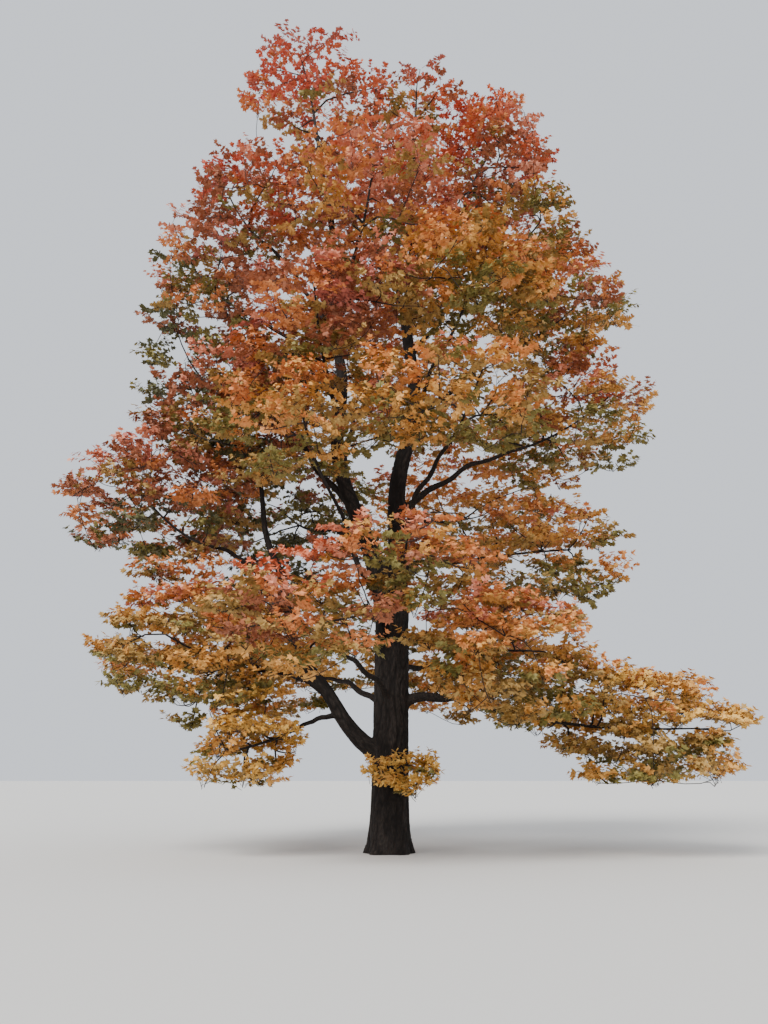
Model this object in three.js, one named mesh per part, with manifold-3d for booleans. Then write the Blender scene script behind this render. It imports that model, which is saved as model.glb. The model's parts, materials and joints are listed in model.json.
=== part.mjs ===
// A large roadside maple in autumn leaf, in millimetres, +Z up, standing on its flat trunk cut at Z = 0.
// The trunk forks into two leaders. Boughs leave the trunk, the leaders and one another, and each ends
// where it enters a mass of foliage, which is a stem, its twigs and sprays of leaves fused into one solid.
// Headings are degrees round the trunk: 0 is right, 90 is away, 180 is left and 270 is towards the viewer.

import * as THREE from "three";
import { mergeVertices } from "three/addons/utils/BufferGeometryUtils.js";
import Module from "manifold-3d";

const wasm = await Module();
wasm.setup();

// Scale and clearances
const METRE = 1000;
const GAP = 0.3;             // between a limb and what it grows from
const WELD = 0.001;          // vertices nearer than this are one
const LEAF_CLEARANCE = 5;    // least distance from a twig or spray to another piece
const SPACE_MARGIN = 0.03;   // between the spaces of two masses, over their half sizes
const MASS_TOLERANCE = 2;    // slivers thinner than this are smoothed out of a fused mass
const SEED = 1573;

// Trunk: a flat cut on the ground, five root ridges, a slight lean to the right, and a rounded fork
const TRUNK = {
  height: 6.5 * METRE,
  diameter: 0.86 * METRE,     // above the flare
  topDiameter: 0.8 * METRE,   // just under the fork
  leanRight: 0.1 * METRE,
  flare: 0.13 * METRE,        // added to the radius at the ground
  ridge: 0.07 * METRE,        // how far the root ridges stand out at the ground
  ridges: 5,
  flareHeight: 0.42 * METRE,  // height over which the flare fades
  domeShare: 0.9,             // share of the height where the fork starts to round over
  crotchDiameter: 0.34 * METRE,
  sides: 16,
  rings: 12,
  ringCrowding: 1.5,          // draws the rings down towards the flare
};

// Boughs: shares of their own length or girth
const BOUGH = {
  tipShare: 0.25,             // tip diameter over root diameter
  leastTip: 0.085 * METRE,
  taperPower: 0.8,            // under 1, a bough loses more of its girth near the root
  collar: 0.28,               // how much the root swells
  collarLength: 1.6,          // in root diameters
  crook: 0.014,               // wander over length
  crookTurns: [11, 17],       // how fast a bough wanders sideways, and up and down
  phaseStep: 2.4,             // from one bough's wander to the next one's
  handle: 0.36,               // length of the curve's handles over its span
  ringSpacing: 1.4 * METRE,
  fewestRings: 4,
  stoutSides: 8,
  slimSides: 5,
  stoutDiameter: 0.24 * METRE,
  entry: 0.86,                // where the tip enters its mass: 0 is the middle, 1 the outside
};

// Sprays: each blade stands for a spray of leaves
const SPRAY = {
  length: 1.75 * METRE,
  widthShare: 1.05,
  thicknessShare: 0.03,
  widest: -0.18,              // place of the widest point: -1 is the root, 1 the tip
  spaceShare: 0.8,            // longest spray over the half width of its mass
  stretch: 1.12,              // a spray may be this much longer to reach its tip
  shortest: 0.6,              // and never shorter than this share
  facing: 0.9,                // how far a spray faces outwards, over how far it faces up
  apart: 0.02 * METRE,        // least distance between two sprays of one mass
  rootShare: 0.16,            // sprays may meet over this much of their length at the root
  seatsTried: 6,
  attempts: 9,                // tries to find room for a twig or a spray
};

// Shells of a mass that the sprays' tips are spread over: its outside, and one inside it.
// perSquareMetre is the number of sprays for each square metre of the mass's outline. furthest adds one more
// tip straight out from the trunk, where the mass has its furthest point.
const SHELLS = [
  { reach: 0.975, size: 1, perSquareMetre: 0.216, fewest: 4, furthest: true },
  { reach: 0.6, size: 0.75, perSquareMetre: 0.036, fewest: 0, furthest: false },
];
const BETWEEN = 1.3;          // how far out of its space a mass may fill the gap to the next
const GAP_TIPS = [1.25, 1.12];  // places of a tip in such a gap, over its shell's reach
const TIP_STEPS = 6;          // steps in which a tip is drawn in until it is in its own mass
const DEEPEST_TIP = 0.5;      // and how far in it may come, over its shell's reach

// Stems and twigs, three-sided
const TWIG = {
  sides: 3,
  stemShare: 0.7,             // stem diameter over the bough's tip
  stemEnd: 0.045 * METRE,
  stemSteps: 3,
  stemReach: 0.35,            // how far past the middle the stem runs
  stemBend: 0.4,              // how far along the stem its bend lies
  seated: 0.05 * METRE,       // how far inside its carrier a stem starts before it is cut back
  diameter: 0.04 * METRE,
  endDiameter: 0.016 * METRE,
  parentShare: 0.6,           // a twig's root diameter over the wood it leaves
  sway: 0.08,                 // how far a twig turns aside, over its length
};
const STEM_SEATS = [0.3, 0.4, 0.5, 0.6, 0.7, 0.8, 0.9, 0.98];
const TWIG_SEATS = [0.5, 0.75, 0.97];

// Foliage colours, dealt out by place in the crown
const SCARLET = "#c0573c";
const ROSE = "#c1665a";
const ORANGE = "#cb7547";
const AMBER = "#c98d4a";
const GOLD = "#cf9f52";
const MOSS = "#7b7343";
const BARK = "#2a2320";
const BARK_ROUGHNESS = 0.95;
const LEAF_ROUGHNESS = 0.8;

// Crown: one row for each bough and the mass at its tip. limb names a bough that has a name of its own.
// from and at say where the bough starts: its parent, and the share of the parent's length.
// leave and arrive are its rise in degrees at the root and at the tip, and girth is its root diameter.
// heading, reach and height place the middle of the mass, in metres from the foot of the trunk.
// out, across and up are the half sizes of the mass's space.
const CROWN = [
  { place: "top_left", limb: "left_leader", from: "trunk", at: 0.87, leave: 64, arrive: 80, girth: 0.5,
    heading: 182, reach: 2.35, height: 21.35, out: 2.25, across: 2.3, up: 2.2, colour: SCARLET },
  { place: "top_middle", limb: "right_leader", from: "trunk", at: 0.87, leave: 82, arrive: 86, girth: 0.56,
    heading: 28, reach: 1.0, height: 21.6, out: 1.3, across: 1.9, up: 1.45, colour: SCARLET },
  { place: "left_middle", limb: "left_bough", from: "trunk", at: 0.3, leave: 34, arrive: 80, girth: 0.42,
    heading: 193, reach: 4.0, height: 10.4, out: 2.0, across: 2.1, up: 1.62, colour: ROSE },
  { place: "low_left", from: "left_bough", at: 0.27, leave: 35, arrive: 0, girth: 0.2,
    heading: 191, reach: 4.75, height: 4.65, out: 2.4, across: 2.3, up: 1.72, colour: AMBER },
  { place: "low_left_hanging", from: "left_bough", at: 0.2, leave: -6, arrive: -30, girth: 0.13,
    heading: 200, reach: 3.4, height: 2.3, out: 1.4, across: 1.5, up: 1.22, colour: GOLD },
  { place: "left_tier", from: "left_bough", at: 0.56, leave: 42, arrive: 12, girth: 0.2,
    heading: 182, reach: 5.9, height: 8.3, out: 2.6, across: 2.5, up: 1.92, colour: ROSE },
  { place: "front_low", from: "trunk", at: 0.5, leave: 38, arrive: 8, girth: 0.16,
    heading: 247, reach: 4.7, height: 4.7, out: 1.8, across: 2.2, up: 1.35, colour: ORANGE },
  { place: "front_arch", from: "trunk", at: 0.72, leave: 48, arrive: 8, girth: 0.18,
    heading: 274, reach: 4.4, height: 5.95, out: 1.6, across: 1.6, up: 1.0, colour: ORANGE },
  { place: "front_left", limb: "second_stem", from: "trunk", at: 0.55, leave: 72, arrive: 35, girth: 0.27,
    heading: 242, reach: 3.9, height: 9.1, out: 2.0, across: 2.15, up: 1.55, colour: AMBER },
  { place: "front_right", from: "right_leader", at: 0.1, leave: 46, arrive: 12, girth: 0.19,
    heading: 295, reach: 4.2, height: 9.6, out: 1.8, across: 2.25, up: 1.37, colour: AMBER },
  { place: "front_high_left", from: "left_leader", at: 0.3, leave: 48, arrive: 10, girth: 0.17,
    heading: 243, reach: 3.7, height: 12.1, out: 1.8, across: 2.3, up: 1.6, colour: ROSE },
  { place: "front_high_right", from: "right_leader", at: 0.33, leave: 55, arrive: 25, girth: 0.17,
    heading: 307, reach: 3.5, height: 13.3, out: 2.0, across: 2.25, up: 1.8, colour: AMBER },
  { place: "centre_high", from: "left_leader", at: 0.52, leave: 72, arrive: 50, girth: 0.14,
    heading: 254, reach: 1.9, height: 16.8, out: 2.2, across: 2.9, up: 1.9, colour: ORANGE },
  { place: "left_side", from: "left_leader", at: 0.2, leave: 42, arrive: 15, girth: 0.19,
    heading: 176, reach: 5.2, height: 12.4, out: 2.0, across: 2.3, up: 1.82, colour: MOSS },
  { place: "left_high", from: "left_leader", at: 0.42, leave: 50, arrive: 28, girth: 0.16,
    heading: 179, reach: 5.15, height: 15.1, out: 1.7, across: 2.4, up: 1.72, colour: ROSE },
  { place: "left_shoulder", from: "left_leader", at: 0.58, leave: 52, arrive: 40, girth: 0.14,
    heading: 178, reach: 4.4, height: 17.6, out: 1.9, across: 2.4, up: 1.77, colour: SCARLET },
  { place: "right_peak", from: "right_leader", at: 0.6, leave: 58, arrive: 72, girth: 0.15,
    heading: 355, reach: 3.1, height: 19.2, out: 1.65, across: 2.0, up: 2.0, colour: SCARLET },
  { place: "right_shoulder", from: "right_leader", at: 0.48, leave: 52, arrive: 34, girth: 0.15,
    heading: 3, reach: 4.2, height: 16.9, out: 1.65, across: 2.3, up: 1.62, colour: ORANGE },
  { place: "right_high", from: "right_leader", at: 0.34, leave: 46, arrive: 22, girth: 0.17,
    heading: 1, reach: 5.0, height: 14.1, out: 1.85, across: 2.4, up: 1.57, colour: ORANGE },
  { place: "right_tip", from: "right_leader", at: 0.17, leave: 36, arrive: 14, girth: 0.2,
    heading: 359, reach: 5.0, height: 10.75, out: 2.35, across: 2.4, up: 1.72, colour: ORANGE },
  { place: "right_tier", from: "right_leader", at: 0.07, leave: 22, arrive: 10, girth: 0.18,
    heading: 356, reach: 3.9, height: 7.0, out: 2.2, across: 2.3, up: 1.62, colour: AMBER },
  { place: "right_inner", from: "trunk", at: 0.73, leave: 24, arrive: -14, girth: 0.2,
    heading: 315, reach: 3.5, height: 4.25, out: 2.0, across: 2.3, up: 1.6, colour: AMBER },
  { place: "right_sweep", from: "trunk", at: 0.49, leave: 33, arrive: -12, girth: 0.27,
    heading: 352, reach: 5.85, height: 2.75, out: 2.6, across: 2.05, up: 1.52, colour: GOLD },
  { place: "back_low_left", from: "trunk", at: 0.46, leave: 36, arrive: 4, girth: 0.2,
    heading: 127, reach: 4.9, height: 5.0, out: 2.6, across: 2.8, up: 2.1, colour: GOLD },
  { place: "back_low_right", from: "trunk", at: 0.6, leave: 30, arrive: 0, girth: 0.2,
    heading: 58, reach: 4.9, height: 4.8, out: 2.6, across: 2.8, up: 2.05, colour: AMBER },
  { place: "back_left", from: "left_leader", at: 0.1, leave: 44, arrive: 8, girth: 0.19,
    heading: 127, reach: 4.9, height: 9.3, out: 2.6, across: 2.9, up: 2.35, colour: MOSS },
  { place: "back_right", from: "right_leader", at: 0.12, leave: 46, arrive: 8, girth: 0.19,
    heading: 57, reach: 4.7, height: 9.5, out: 2.6, across: 2.9, up: 2.35, colour: AMBER },
  { place: "back_high", from: "left_leader", at: 0.26, leave: 58, arrive: 15, girth: 0.17,
    heading: 99, reach: 3.9, height: 13.9, out: 2.6, across: 3.8, up: 2.5, colour: ORANGE },
  { place: "back_top", from: "right_leader", at: 0.52, leave: 68, arrive: 38, girth: 0.14,
    heading: 98, reach: 2.2, height: 18.0, out: 2.5, across: 3.0, up: 2.6, colour: SCARLET },
];

// A tuft grows straight out of the trunk, below the boughs.
const TUFT = {
  place: "trunk_tuft", from: "trunk", at: 0.27, leave: 25, girth: 0.07,
  heading: 287, reach: 1.1, height: 1.85, out: 0.72, across: 0.95, up: 0.6, colour: GOLD,
};

// Directions and numbers

const UP = new THREE.Vector3(0, 0, 1);
const GOLDEN_ANGLE = Math.PI * (3 - Math.sqrt(5));

function direction(heading, rise) {
  const round = THREE.MathUtils.degToRad(heading);
  const lift = THREE.MathUtils.degToRad(rise);
  return new THREE.Vector3(
    Math.cos(lift) * Math.cos(round),
    Math.cos(lift) * Math.sin(round),
    Math.sin(lift),
  );
}

function headingOf(vector) {
  return THREE.MathUtils.radToDeg(Math.atan2(vector.y, vector.x));
}

function evenShares(steps) {
  return Array.from({ length: steps + 1 }, (_, step) => step / steps);
}

function seededRandom(seed) {
  let state = seed >>> 0;
  return () => {
    state = (state + 0x6d2b79f5) >>> 0;
    let mixed = Math.imul(state ^ (state >>> 15), state | 1);
    mixed ^= mixed + Math.imul(mixed ^ (mixed >>> 7), mixed | 61);
    return ((mixed ^ (mixed >>> 14)) >>> 0) / 2 ** 32;
  };
}

// Even directions on a golden spiral, each turned a little by chance
function evenDirections(count, random) {
  const turn = random() * 2 * Math.PI;
  const chance = 0.35;
  return Array.from({ length: count }, (_, k) => {
    const height = 1 - (2 * k + 1) / count;
    const round = turn + k * GOLDEN_ANGLE + chance * (random() - 0.5);
    const flat = Math.sqrt(1 - height * height);
    return new THREE.Vector3(flat * Math.cos(round), flat * Math.sin(round), height);
  });
}

// Solids

function solidOf(geometry) {
  geometry.deleteAttribute("normal");
  geometry.deleteAttribute("uv");
  const merged = mergeVertices(geometry, WELD);
  return new wasm.Manifold(new wasm.Mesh({
    numProp: 3,
    vertProperties: new Float32Array(merged.attributes.position.array),
    triVerts: new Uint32Array(merged.index.array),
  }));
}

// The largest body: loose scraps go, and so does the shell of any hollow that fusing sealed.
function wholeBody(solid) {
  return solid.decompose().reduce((largest, body) => (body.volume() > largest.volume() ? body : largest));
}

function boxesMeet(a, b, margin) {
  const p = a.boundingBox();
  const q = b.boundingBox();
  return [0, 1, 2].every((k) => p.min[k] - margin < q.max[k] && q.min[k] - margin < p.max[k]);
}

function clearOf(solid, others, distance) {
  return others.every((other) => (
    !boxesMeet(solid, other, distance) || solid.minGap(other, 2 * distance) >= distance));
}

function corners(solid) {
  const { vertProperties } = solid.getMesh();
  const count = vertProperties.length / 3;
  return Array.from({ length: count }, (_, k) => new THREE.Vector3().fromArray(vertProperties, 3 * k));
}

function meshOf(name, solid, color, roughness) {
  const { vertProperties, triVerts } = solid.getMesh();
  const geometry = new THREE.BufferGeometry();
  geometry.setAttribute("position", new THREE.BufferAttribute(vertProperties, 3));
  geometry.setIndex(new THREE.BufferAttribute(triVerts, 1));
  geometry.computeVertexNormals();
  const mesh = new THREE.Mesh(geometry, new THREE.MeshStandardMaterial({ color, roughness, metalness: 0 }));
  mesh.name = name;
  return mesh;
}

// A ring of points round a curve, for a radius that may change with the angle
function ringPoints(centre, normal, across, sides, radiusAt) {
  return Array.from({ length: sides }, (_, side) => {
    const angle = (2 * Math.PI * side) / sides;
    const radius = radiusAt(angle);
    return centre.clone()
      .addScaledVector(normal, radius * Math.cos(angle))
      .addScaledVector(across, radius * Math.sin(angle));
  });
}

// The triangles that join rings into a closed skin with flat ends
function ringTriangles(rings, sides) {
  const index = [];
  for (let ring = 0; ring < rings - 1; ring++) {
    for (let side = 0; side < sides; side++) {
      const here = ring * sides + side;
      const next = ring * sides + ((side + 1) % sides);
      index.push(here, next, next + sides, here, next + sides, here + sides);
    }
  }
  const last = (rings - 1) * sides;
  for (let side = 1; side < sides - 1; side++) {
    index.push(0, side + 1, side, last, last + side, last + side + 1);
  }
  return index;
}

// Wood along a curve. radiusAt takes the share of the length and the angle, and extra makes a sleeve that
// stands clear of the wood all round and past its end.
function woodGeometry(curve, radiusAt, sides, shares, extra = 0) {
  const tangent = curve.getTangentAt(0);
  const steep = Math.abs(tangent.z) > 0.9;
  const normal = new THREE.Vector3().crossVectors(tangent, steep ? direction(0, 0) : UP);
  const points = shares.flatMap((share) => {
    curve.getTangentAt(share, tangent);
    const centre = curve.getPointAt(share).addScaledVector(tangent, share === 1 ? extra : 0);
    normal.addScaledVector(tangent, -normal.dot(tangent)).normalize();
    const across = new THREE.Vector3().crossVectors(tangent, normal);
    return ringPoints(centre, normal, across, sides, (angle) => radiusAt(share, angle) + extra);
  });
  const geometry = new THREE.BufferGeometry().setFromPoints(points);
  geometry.setIndex(ringTriangles(shares.length, sides));
  return geometry;
}

// Trunk

function trunkRadius(share, angle) {
  const fade = Math.exp((-share * TRUNK.height) / TRUNK.flareHeight);
  const shaft = THREE.MathUtils.lerp(TRUNK.diameter, TRUNK.topDiameter, share) / 2;
  const ridges = TRUNK.ridge * Math.cos(TRUNK.ridges * angle);
  const dome = THREE.MathUtils.clamp((share - TRUNK.domeShare) / (1 - TRUNK.domeShare), 0, 1);
  return THREE.MathUtils.lerp(shaft, TRUNK.crotchDiameter / 2, dome * dome) + fade * (TRUNK.flare + ridges);
}

// The trunk is made upright and then sheared into its lean, which keeps its foot flat on the ground.
function growTrunk() {
  const foot = new THREE.Vector3();
  const upright = new THREE.LineCurve3(foot, new THREE.Vector3(0, 0, TRUNK.height));
  const leaning = new THREE.Matrix4().makeShear(0, 0, 0, 0, TRUNK.leanRight / TRUNK.height, 0);
  const shares = evenShares(TRUNK.rings).map((share) => share ** TRUNK.ringCrowding);
  const build = (extra) => solidOf(
    woodGeometry(upright, trunkRadius, TRUNK.sides, shares, extra).applyMatrix4(leaning),
  );
  return {
    name: "trunk",
    curve: new THREE.LineCurve3(foot, new THREE.Vector3(TRUNK.leanRight, 0, TRUNK.height)),
    diameterAt: (share) => 2 * trunkRadius(share, 0),
    solid: build(0),
    sleeve: build(GAP),
  };
}

// Spaces of the masses

// An ellipsoid with one axis out from the trunk. Its measure is 0 in the middle and 1 at the outside.
function spaceOf(row) {
  const middle = direction(row.heading, 0).multiplyScalar(row.reach * METRE).setZ(row.height * METRE);
  const axes = [direction(row.heading, 0), direction(row.heading + 90, 0), UP];
  const halves = [row.out * METRE, row.across * METRE, row.up * METRE];
  const stretch = (offset) => Math.hypot(...axes.map((axis, k) => offset.dot(axis) / halves[k]));
  return {
    middle,
    halfWidth: Math.sqrt(halves[0] * halves[1]),
    halfHeight: halves[2],
    measure: (point) => stretch(point.clone().sub(middle)),
    outside: (towards) => middle.clone().addScaledVector(towards, 1 / stretch(towards)),
  };
}

// A point belongs to a mass when it is nearer to that mass's middle than to any other's, and lies in its
// space, or in the gap between it and the next one, which both then fill.
function isOwn(point, row, rows) {
  const own = row.space.measure(point);
  const others = rows.filter((other) => other !== row);
  const nearest = Math.min(...others.map((other) => other.space.measure(point)));
  return (own <= 1 || nearest <= BETWEEN) && nearest > own + SPACE_MARGIN;
}

// Boughs

// A bough's line: a smooth sweep between two rises, with a slight wander that fades at both ends
class BoughCurve extends THREE.CubicBezierCurve3 {
  constructor(start, startDirection, end, endDirection, phase) {
    const span = start.distanceTo(end);
    const afterStart = start.clone().addScaledVector(startDirection, span * BOUGH.handle);
    const beforeEnd = end.clone().addScaledVector(endDirection, -span * BOUGH.handle);
    super(start, afterStart, beforeEnd, end);
    this.wander = span * BOUGH.crook;
    this.phase = phase;
    this.sideways = new THREE.Vector3().crossVectors(end.clone().sub(start), UP).normalize();
    this.upwards = new THREE.Vector3().crossVectors(this.sideways, end.clone().sub(start)).normalize();
  }

  getPoint(share, target = new THREE.Vector3()) {
    const [sideTurn, upTurn] = BOUGH.crookTurns;
    const fade = this.wander * Math.sin(Math.PI * share);
    return super.getPoint(share, target)
      .addScaledVector(this.sideways, fade * Math.sin(sideTurn * share + this.phase))
      .addScaledVector(this.upwards, fade * Math.sin(upTurn * share + 2 * this.phase));
  }
}

function limbName(row) {
  return row.limb ?? `bough_${row.place}`;
}

function boughDiameter(row, length, share) {
  const root = row.girth * METRE;
  const tip = Math.max(root * BOUGH.tipShare, BOUGH.leastTip);
  const collar = root * BOUGH.collar * Math.exp((-share * length) / (root * BOUGH.collarLength));
  return THREE.MathUtils.lerp(root, tip, share ** BOUGH.taperPower) + collar;
}

// A bough starts on its parent's centre line and is cut clear of every limb grown before it.
function growBough(row, number, limbs) {
  const parent = limbs.find((limb) => limb.name === row.from);
  const start = parent.curve.getPointAt(row.at);
  const inwards = start.clone().sub(row.space.middle).normalize();
  const end = row.space.middle.clone().lerp(row.space.outside(inwards), BOUGH.entry);
  const heading = headingOf(end.clone().sub(start));
  const leaving = direction(heading, row.leave);
  const arriving = direction(heading, row.arrive);
  const curve = new BoughCurve(start, leaving, end, arriving, number * BOUGH.phaseStep);
  const length = curve.getLength();
  const diameterAt = (share) => boughDiameter(row, length, share);
  const sides = row.girth * METRE >= BOUGH.stoutDiameter ? BOUGH.stoutSides : BOUGH.slimSides;
  const shares = evenShares(Math.max(BOUGH.fewestRings, Math.round(length / BOUGH.ringSpacing)));
  const build = (extra) => solidOf(
    woodGeometry(curve, (share) => diameterAt(share) / 2, sides, shares, extra),
  );
  const whole = build(0);
  const solid = limbs
    .filter((limb) => boxesMeet(whole, limb.sleeve, GAP))
    .reduce((rest, limb) => rest.subtract(limb.sleeve), whole);
  return { name: limbName(row), curve, diameterAt, solid: wholeBody(solid), sleeve: build(GAP) };
}

// Foliage

// A blade of eight faces, with its root at -X and its tip at +X
function sprayForm() {
  const form = new THREE.OctahedronGeometry(1);
  const position = form.attributes.position;
  for (let k = 0; k < position.count; k++) {
    const isEnd = Math.abs(position.getX(k)) > 0.5;
    position.setX(k, isEnd ? position.getX(k) : SPRAY.widest);
  }
  return form;
}

const SPRAY_FORM = sprayForm();

function spraySolid(root, along, face, length, width) {
  const across = new THREE.Vector3().crossVectors(face, along).normalize();
  const normal = new THREE.Vector3().crossVectors(along, across);
  const placed = new THREE.Matrix4().makeBasis(
    along.clone().multiplyScalar(length / 2),
    across.multiplyScalar(width / 2),
    normal.multiplyScalar((length * SPRAY.thicknessShare) / 2),
  ).setPosition(root.clone().addScaledVector(along, length / 2));
  return solidOf(SPRAY_FORM.clone().applyMatrix4(placed));
}

// A line of straight runs between knots, so that what is rooted on it is sunk in the wood round it
class KnottedLine extends THREE.CurvePath {
  constructor(knots) {
    super();
    knots.slice(1).forEach((knot, k) => this.add(new THREE.LineCurve3(knots[k], knot)));
  }

  knotShares() {
    return [0, ...this.getCurveLengths().map((length) => length / this.getLength())];
  }
}

function twigOf(knots, startDiameter, endDiameter) {
  const curve = new KnottedLine(knots);
  const diameterAt = (share) => THREE.MathUtils.lerp(startDiameter, endDiameter, share);
  const geometry = woodGeometry(curve, (share) => diameterAt(share) / 2, TWIG.sides, curve.knotShares());
  return { curve, diameterAt, solid: solidOf(geometry) };
}

// The stem starts just inside the wood that carries it and is cut back to leave the gap.
function growStem(row, limbs) {
  const limb = limbs.find((one) => one.name === limbName(row));
  const carrier = limb ?? limbs.find((one) => one.name === row.from);
  const seat = carrier.curve.getPointAt(limb ? 1 : row.at);
  const along = limb ? carrier.curve.getTangentAt(1) : direction(row.heading, row.leave);
  const thick = limb ? TWIG.stemShare * carrier.diameterAt(1) : row.girth * METRE;
  const start = seat.clone().addScaledVector(along, -TWIG.seated);
  const far = seat.clone().lerp(row.space.middle, 1 + TWIG.stemReach);
  const bend = start.clone().addScaledVector(along, TWIG.stemBend * start.distanceTo(far));
  const sweep = new THREE.QuadraticBezierCurve3(start, bend, far);
  const stem = twigOf(sweep.getPoints(TWIG.stemSteps), thick, TWIG.stemEnd);
  return { ...stem, solid: wholeBody(stem.solid.subtract(carrier.sleeve)) };
}

function seatsOn(piece, shares) {
  return shares.map((share) => ({ piece, share, point: piece.curve.getPointAt(share) }));
}

// A mass grows from its stem. Tips are spread evenly over its shells, and a spray is rooted on the wood near
// each tip. Where no wood is near enough, a twig first grows towards the tip from the nearest wood.
// A twig or spray that would leave the mass's space or touch a limb or another mass is turned, or else skipped.
class Mass {
  constructor(row, number, rows, limbs, grown) {
    this.row = row;
    this.rows = rows;
    this.random = seededRandom(SEED + number);
    this.near = [...limbs, ...grown].map((piece) => piece.solid);
    this.stem = growStem(row, limbs);
    this.wood = [this.stem];
    this.seats = seatsOn(this.stem, STEM_SEATS);
    this.sprays = [];
    this.blades = [];
  }

  scatter(size) {
    const offset = () => this.random() - 0.5;
    return new THREE.Vector3(offset(), offset(), offset()).multiplyScalar(size);
  }

  fits(solid, carrier) {
    const others = this.wood.filter((piece) => piece !== carrier).map((piece) => piece.solid);
    return corners(solid).every((corner) => isOwn(corner, this.row, this.rows))
      && clearOf(solid, [...this.near, ...others], LEAF_CLEARANCE);
  }

  // The furthest point towards the outside that still belongs to this mass
  tipTowards(towards, reach) {
    const outside = this.row.space.outside(towards);
    const inwards = evenShares(TIP_STEPS).map((share) => THREE.MathUtils.lerp(1, DEEPEST_TIP, share));
    const places = [...GAP_TIPS, ...inwards];
    const choices = places.map((place) => this.row.space.middle.clone().lerp(outside, reach * place));
    return choices.find((point) => isOwn(point, this.row, this.rows)) ?? choices[0];
  }

  growTwig(tip, length) {
    const distance = (seat) => seat.point.distanceTo(tip);
    const seat = this.seats.reduce((best, one) => (distance(one) < distance(best) ? one : best));
    const span = distance(seat);
    if (span < length * SPRAY.stretch) {
      return;
    }
    const thick = Math.min(TWIG.diameter, TWIG.parentShare * seat.piece.diameterAt(seat.share));
    for (let attempt = 1; attempt <= SPRAY.attempts; attempt++) {
      const end = seat.point.clone().lerp(tip, 1 - length / span).add(this.scatter(TWIG.sway * span * attempt));
      const twig = twigOf([seat.point, end], thick, TWIG.endDiameter);
      if (this.fits(twig.solid, seat.piece) && clearOf(twig.solid, this.blades, LEAF_CLEARANCE)) {
        this.wood.push(twig);
        this.seats.push(...seatsOn(twig, TWIG_SEATS));
        return;
      }
    }
  }

  // A spray faces up and outwards, turned by chance.
  faceFor(along, tip) {
    const outwards = tip.clone().sub(this.row.space.middle).setZ(0).normalize();
    const face = direction(360 * this.random(), 0).add(outwards).multiplyScalar(SPRAY.facing).add(UP);
    return face.addScaledVector(along, -face.dot(along)).normalize();
  }

  trySpray(seat, tip, length) {
    const along = tip.clone().sub(seat.point);
    const reach = along.length();
    along.normalize();
    const face = this.faceFor(along, tip);
    const width = Math.min(reach, length) * SPRAY.widthShare;
    const spray = spraySolid(seat.point, along, face, reach, width);
    const beyondRoot = seat.point.clone().addScaledVector(along, SPRAY.rootShare * reach);
    const blade = spraySolid(beyondRoot, along, face, (1 - SPRAY.rootShare) * reach, width);
    const fits = this.fits(spray, seat.piece) && clearOf(blade, this.blades, SPRAY.apart);
    if (fits) {
      this.sprays.push(spray);
      this.blades.push(blade);
    }
    return fits;
  }

  addSpray(tip, length) {
    const misfit = (seat) => Math.abs(seat.point.distanceTo(tip) - length);
    const seats = this.seats
      .filter(({ point }) => point.distanceTo(tip) > length * SPRAY.shortest)
      .filter(({ point }) => point.distanceTo(tip) < length * SPRAY.stretch)
      .sort((p, q) => misfit(p) - misfit(q))
      .slice(0, SPRAY.seatsTried);
    for (let attempt = 0; attempt < SPRAY.attempts; attempt++) {
      if (seats.some((seat) => this.trySpray(seat, tip, length))) {
        return;
      }
    }
  }

  grow() {
    const { halfWidth, halfHeight } = this.row.space;
    const longest = Math.min(SPRAY.length, SPRAY.spaceShare * halfWidth);
    const outline = (4 * Math.PI * halfWidth * halfHeight) / METRE ** 2;
    const onStem = seatsOn(this.stem, STEM_SEATS);
    const farness = (tip) => Math.min(...onStem.map(({ point }) => point.distanceTo(tip)));
    SHELLS.forEach(({ reach, size, perSquareMetre, fewest, furthest }) => {
      const count = Math.max(fewest, Math.round(outline * perSquareMetre));
      const straightOut = furthest ? [direction(this.row.heading, 0)] : [];
      const ways = [...straightOut, ...evenDirections(count, this.random)];
      const tips = ways.map((towards) => this.tipTowards(towards, reach));
      tips.sort((p, q) => farness(q) - farness(p));
      tips.forEach((tip) => {
        this.growTwig(tip, longest * size);
        this.addSpray(tip, longest * size);
      });
    });
    const fused = wasm.Manifold.union([...this.wood.map((piece) => piece.solid), ...this.sprays]);
    return { solid: wholeBody(fused.simplify(MASS_TOLERANCE)) };
  }
}

// Whole tree

const rows = [...CROWN, TUFT].map((row) => ({ ...row, space: spaceOf(row) }));
const boughRows = rows.slice(0, CROWN.length);

const limbs = [growTrunk()];
boughRows.forEach((row, number) => {
  limbs.push(growBough(row, number, limbs));
});

const masses = [];
rows.forEach((row, number) => {
  masses.push(new Mass(row, number, rows, limbs, masses).grow());
});

const tree = new THREE.Group();
limbs.forEach((limb) => {
  tree.add(meshOf(limb.name, limb.solid, BARK, BARK_ROUGHNESS));
});
masses.forEach((mass, number) => {
  const row = rows[number];
  tree.add(meshOf(`leaves_${row.place}`, mass.solid, row.colour, LEAF_ROUGHNESS));
});

export default tree;
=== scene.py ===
"""A large maple in autumn leaf, dressed for a close look.

The limbs and the masses of leaves grow from the same table and rule as the solid part, and the rule is
carried on to finer twigs. The stem of each mass puts out branches, and each branch ends in a pad of leafy
shoots. The pads are domes, so the crown shows lit tops and dark undersides with open air between them.

Lengths are in metres. Headings are degrees round the trunk: 0 is right, 90 is away, 180 is left and 270 is
towards the camera. Rises are degrees above level.
"""

import json
import math
from collections import namedtuple
from functools import lru_cache, partial

import bmesh
import bpy
import numpy as np
from bpy.props import FloatProperty, FloatVectorProperty, IntProperty, PointerProperty
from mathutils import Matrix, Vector, noise

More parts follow.
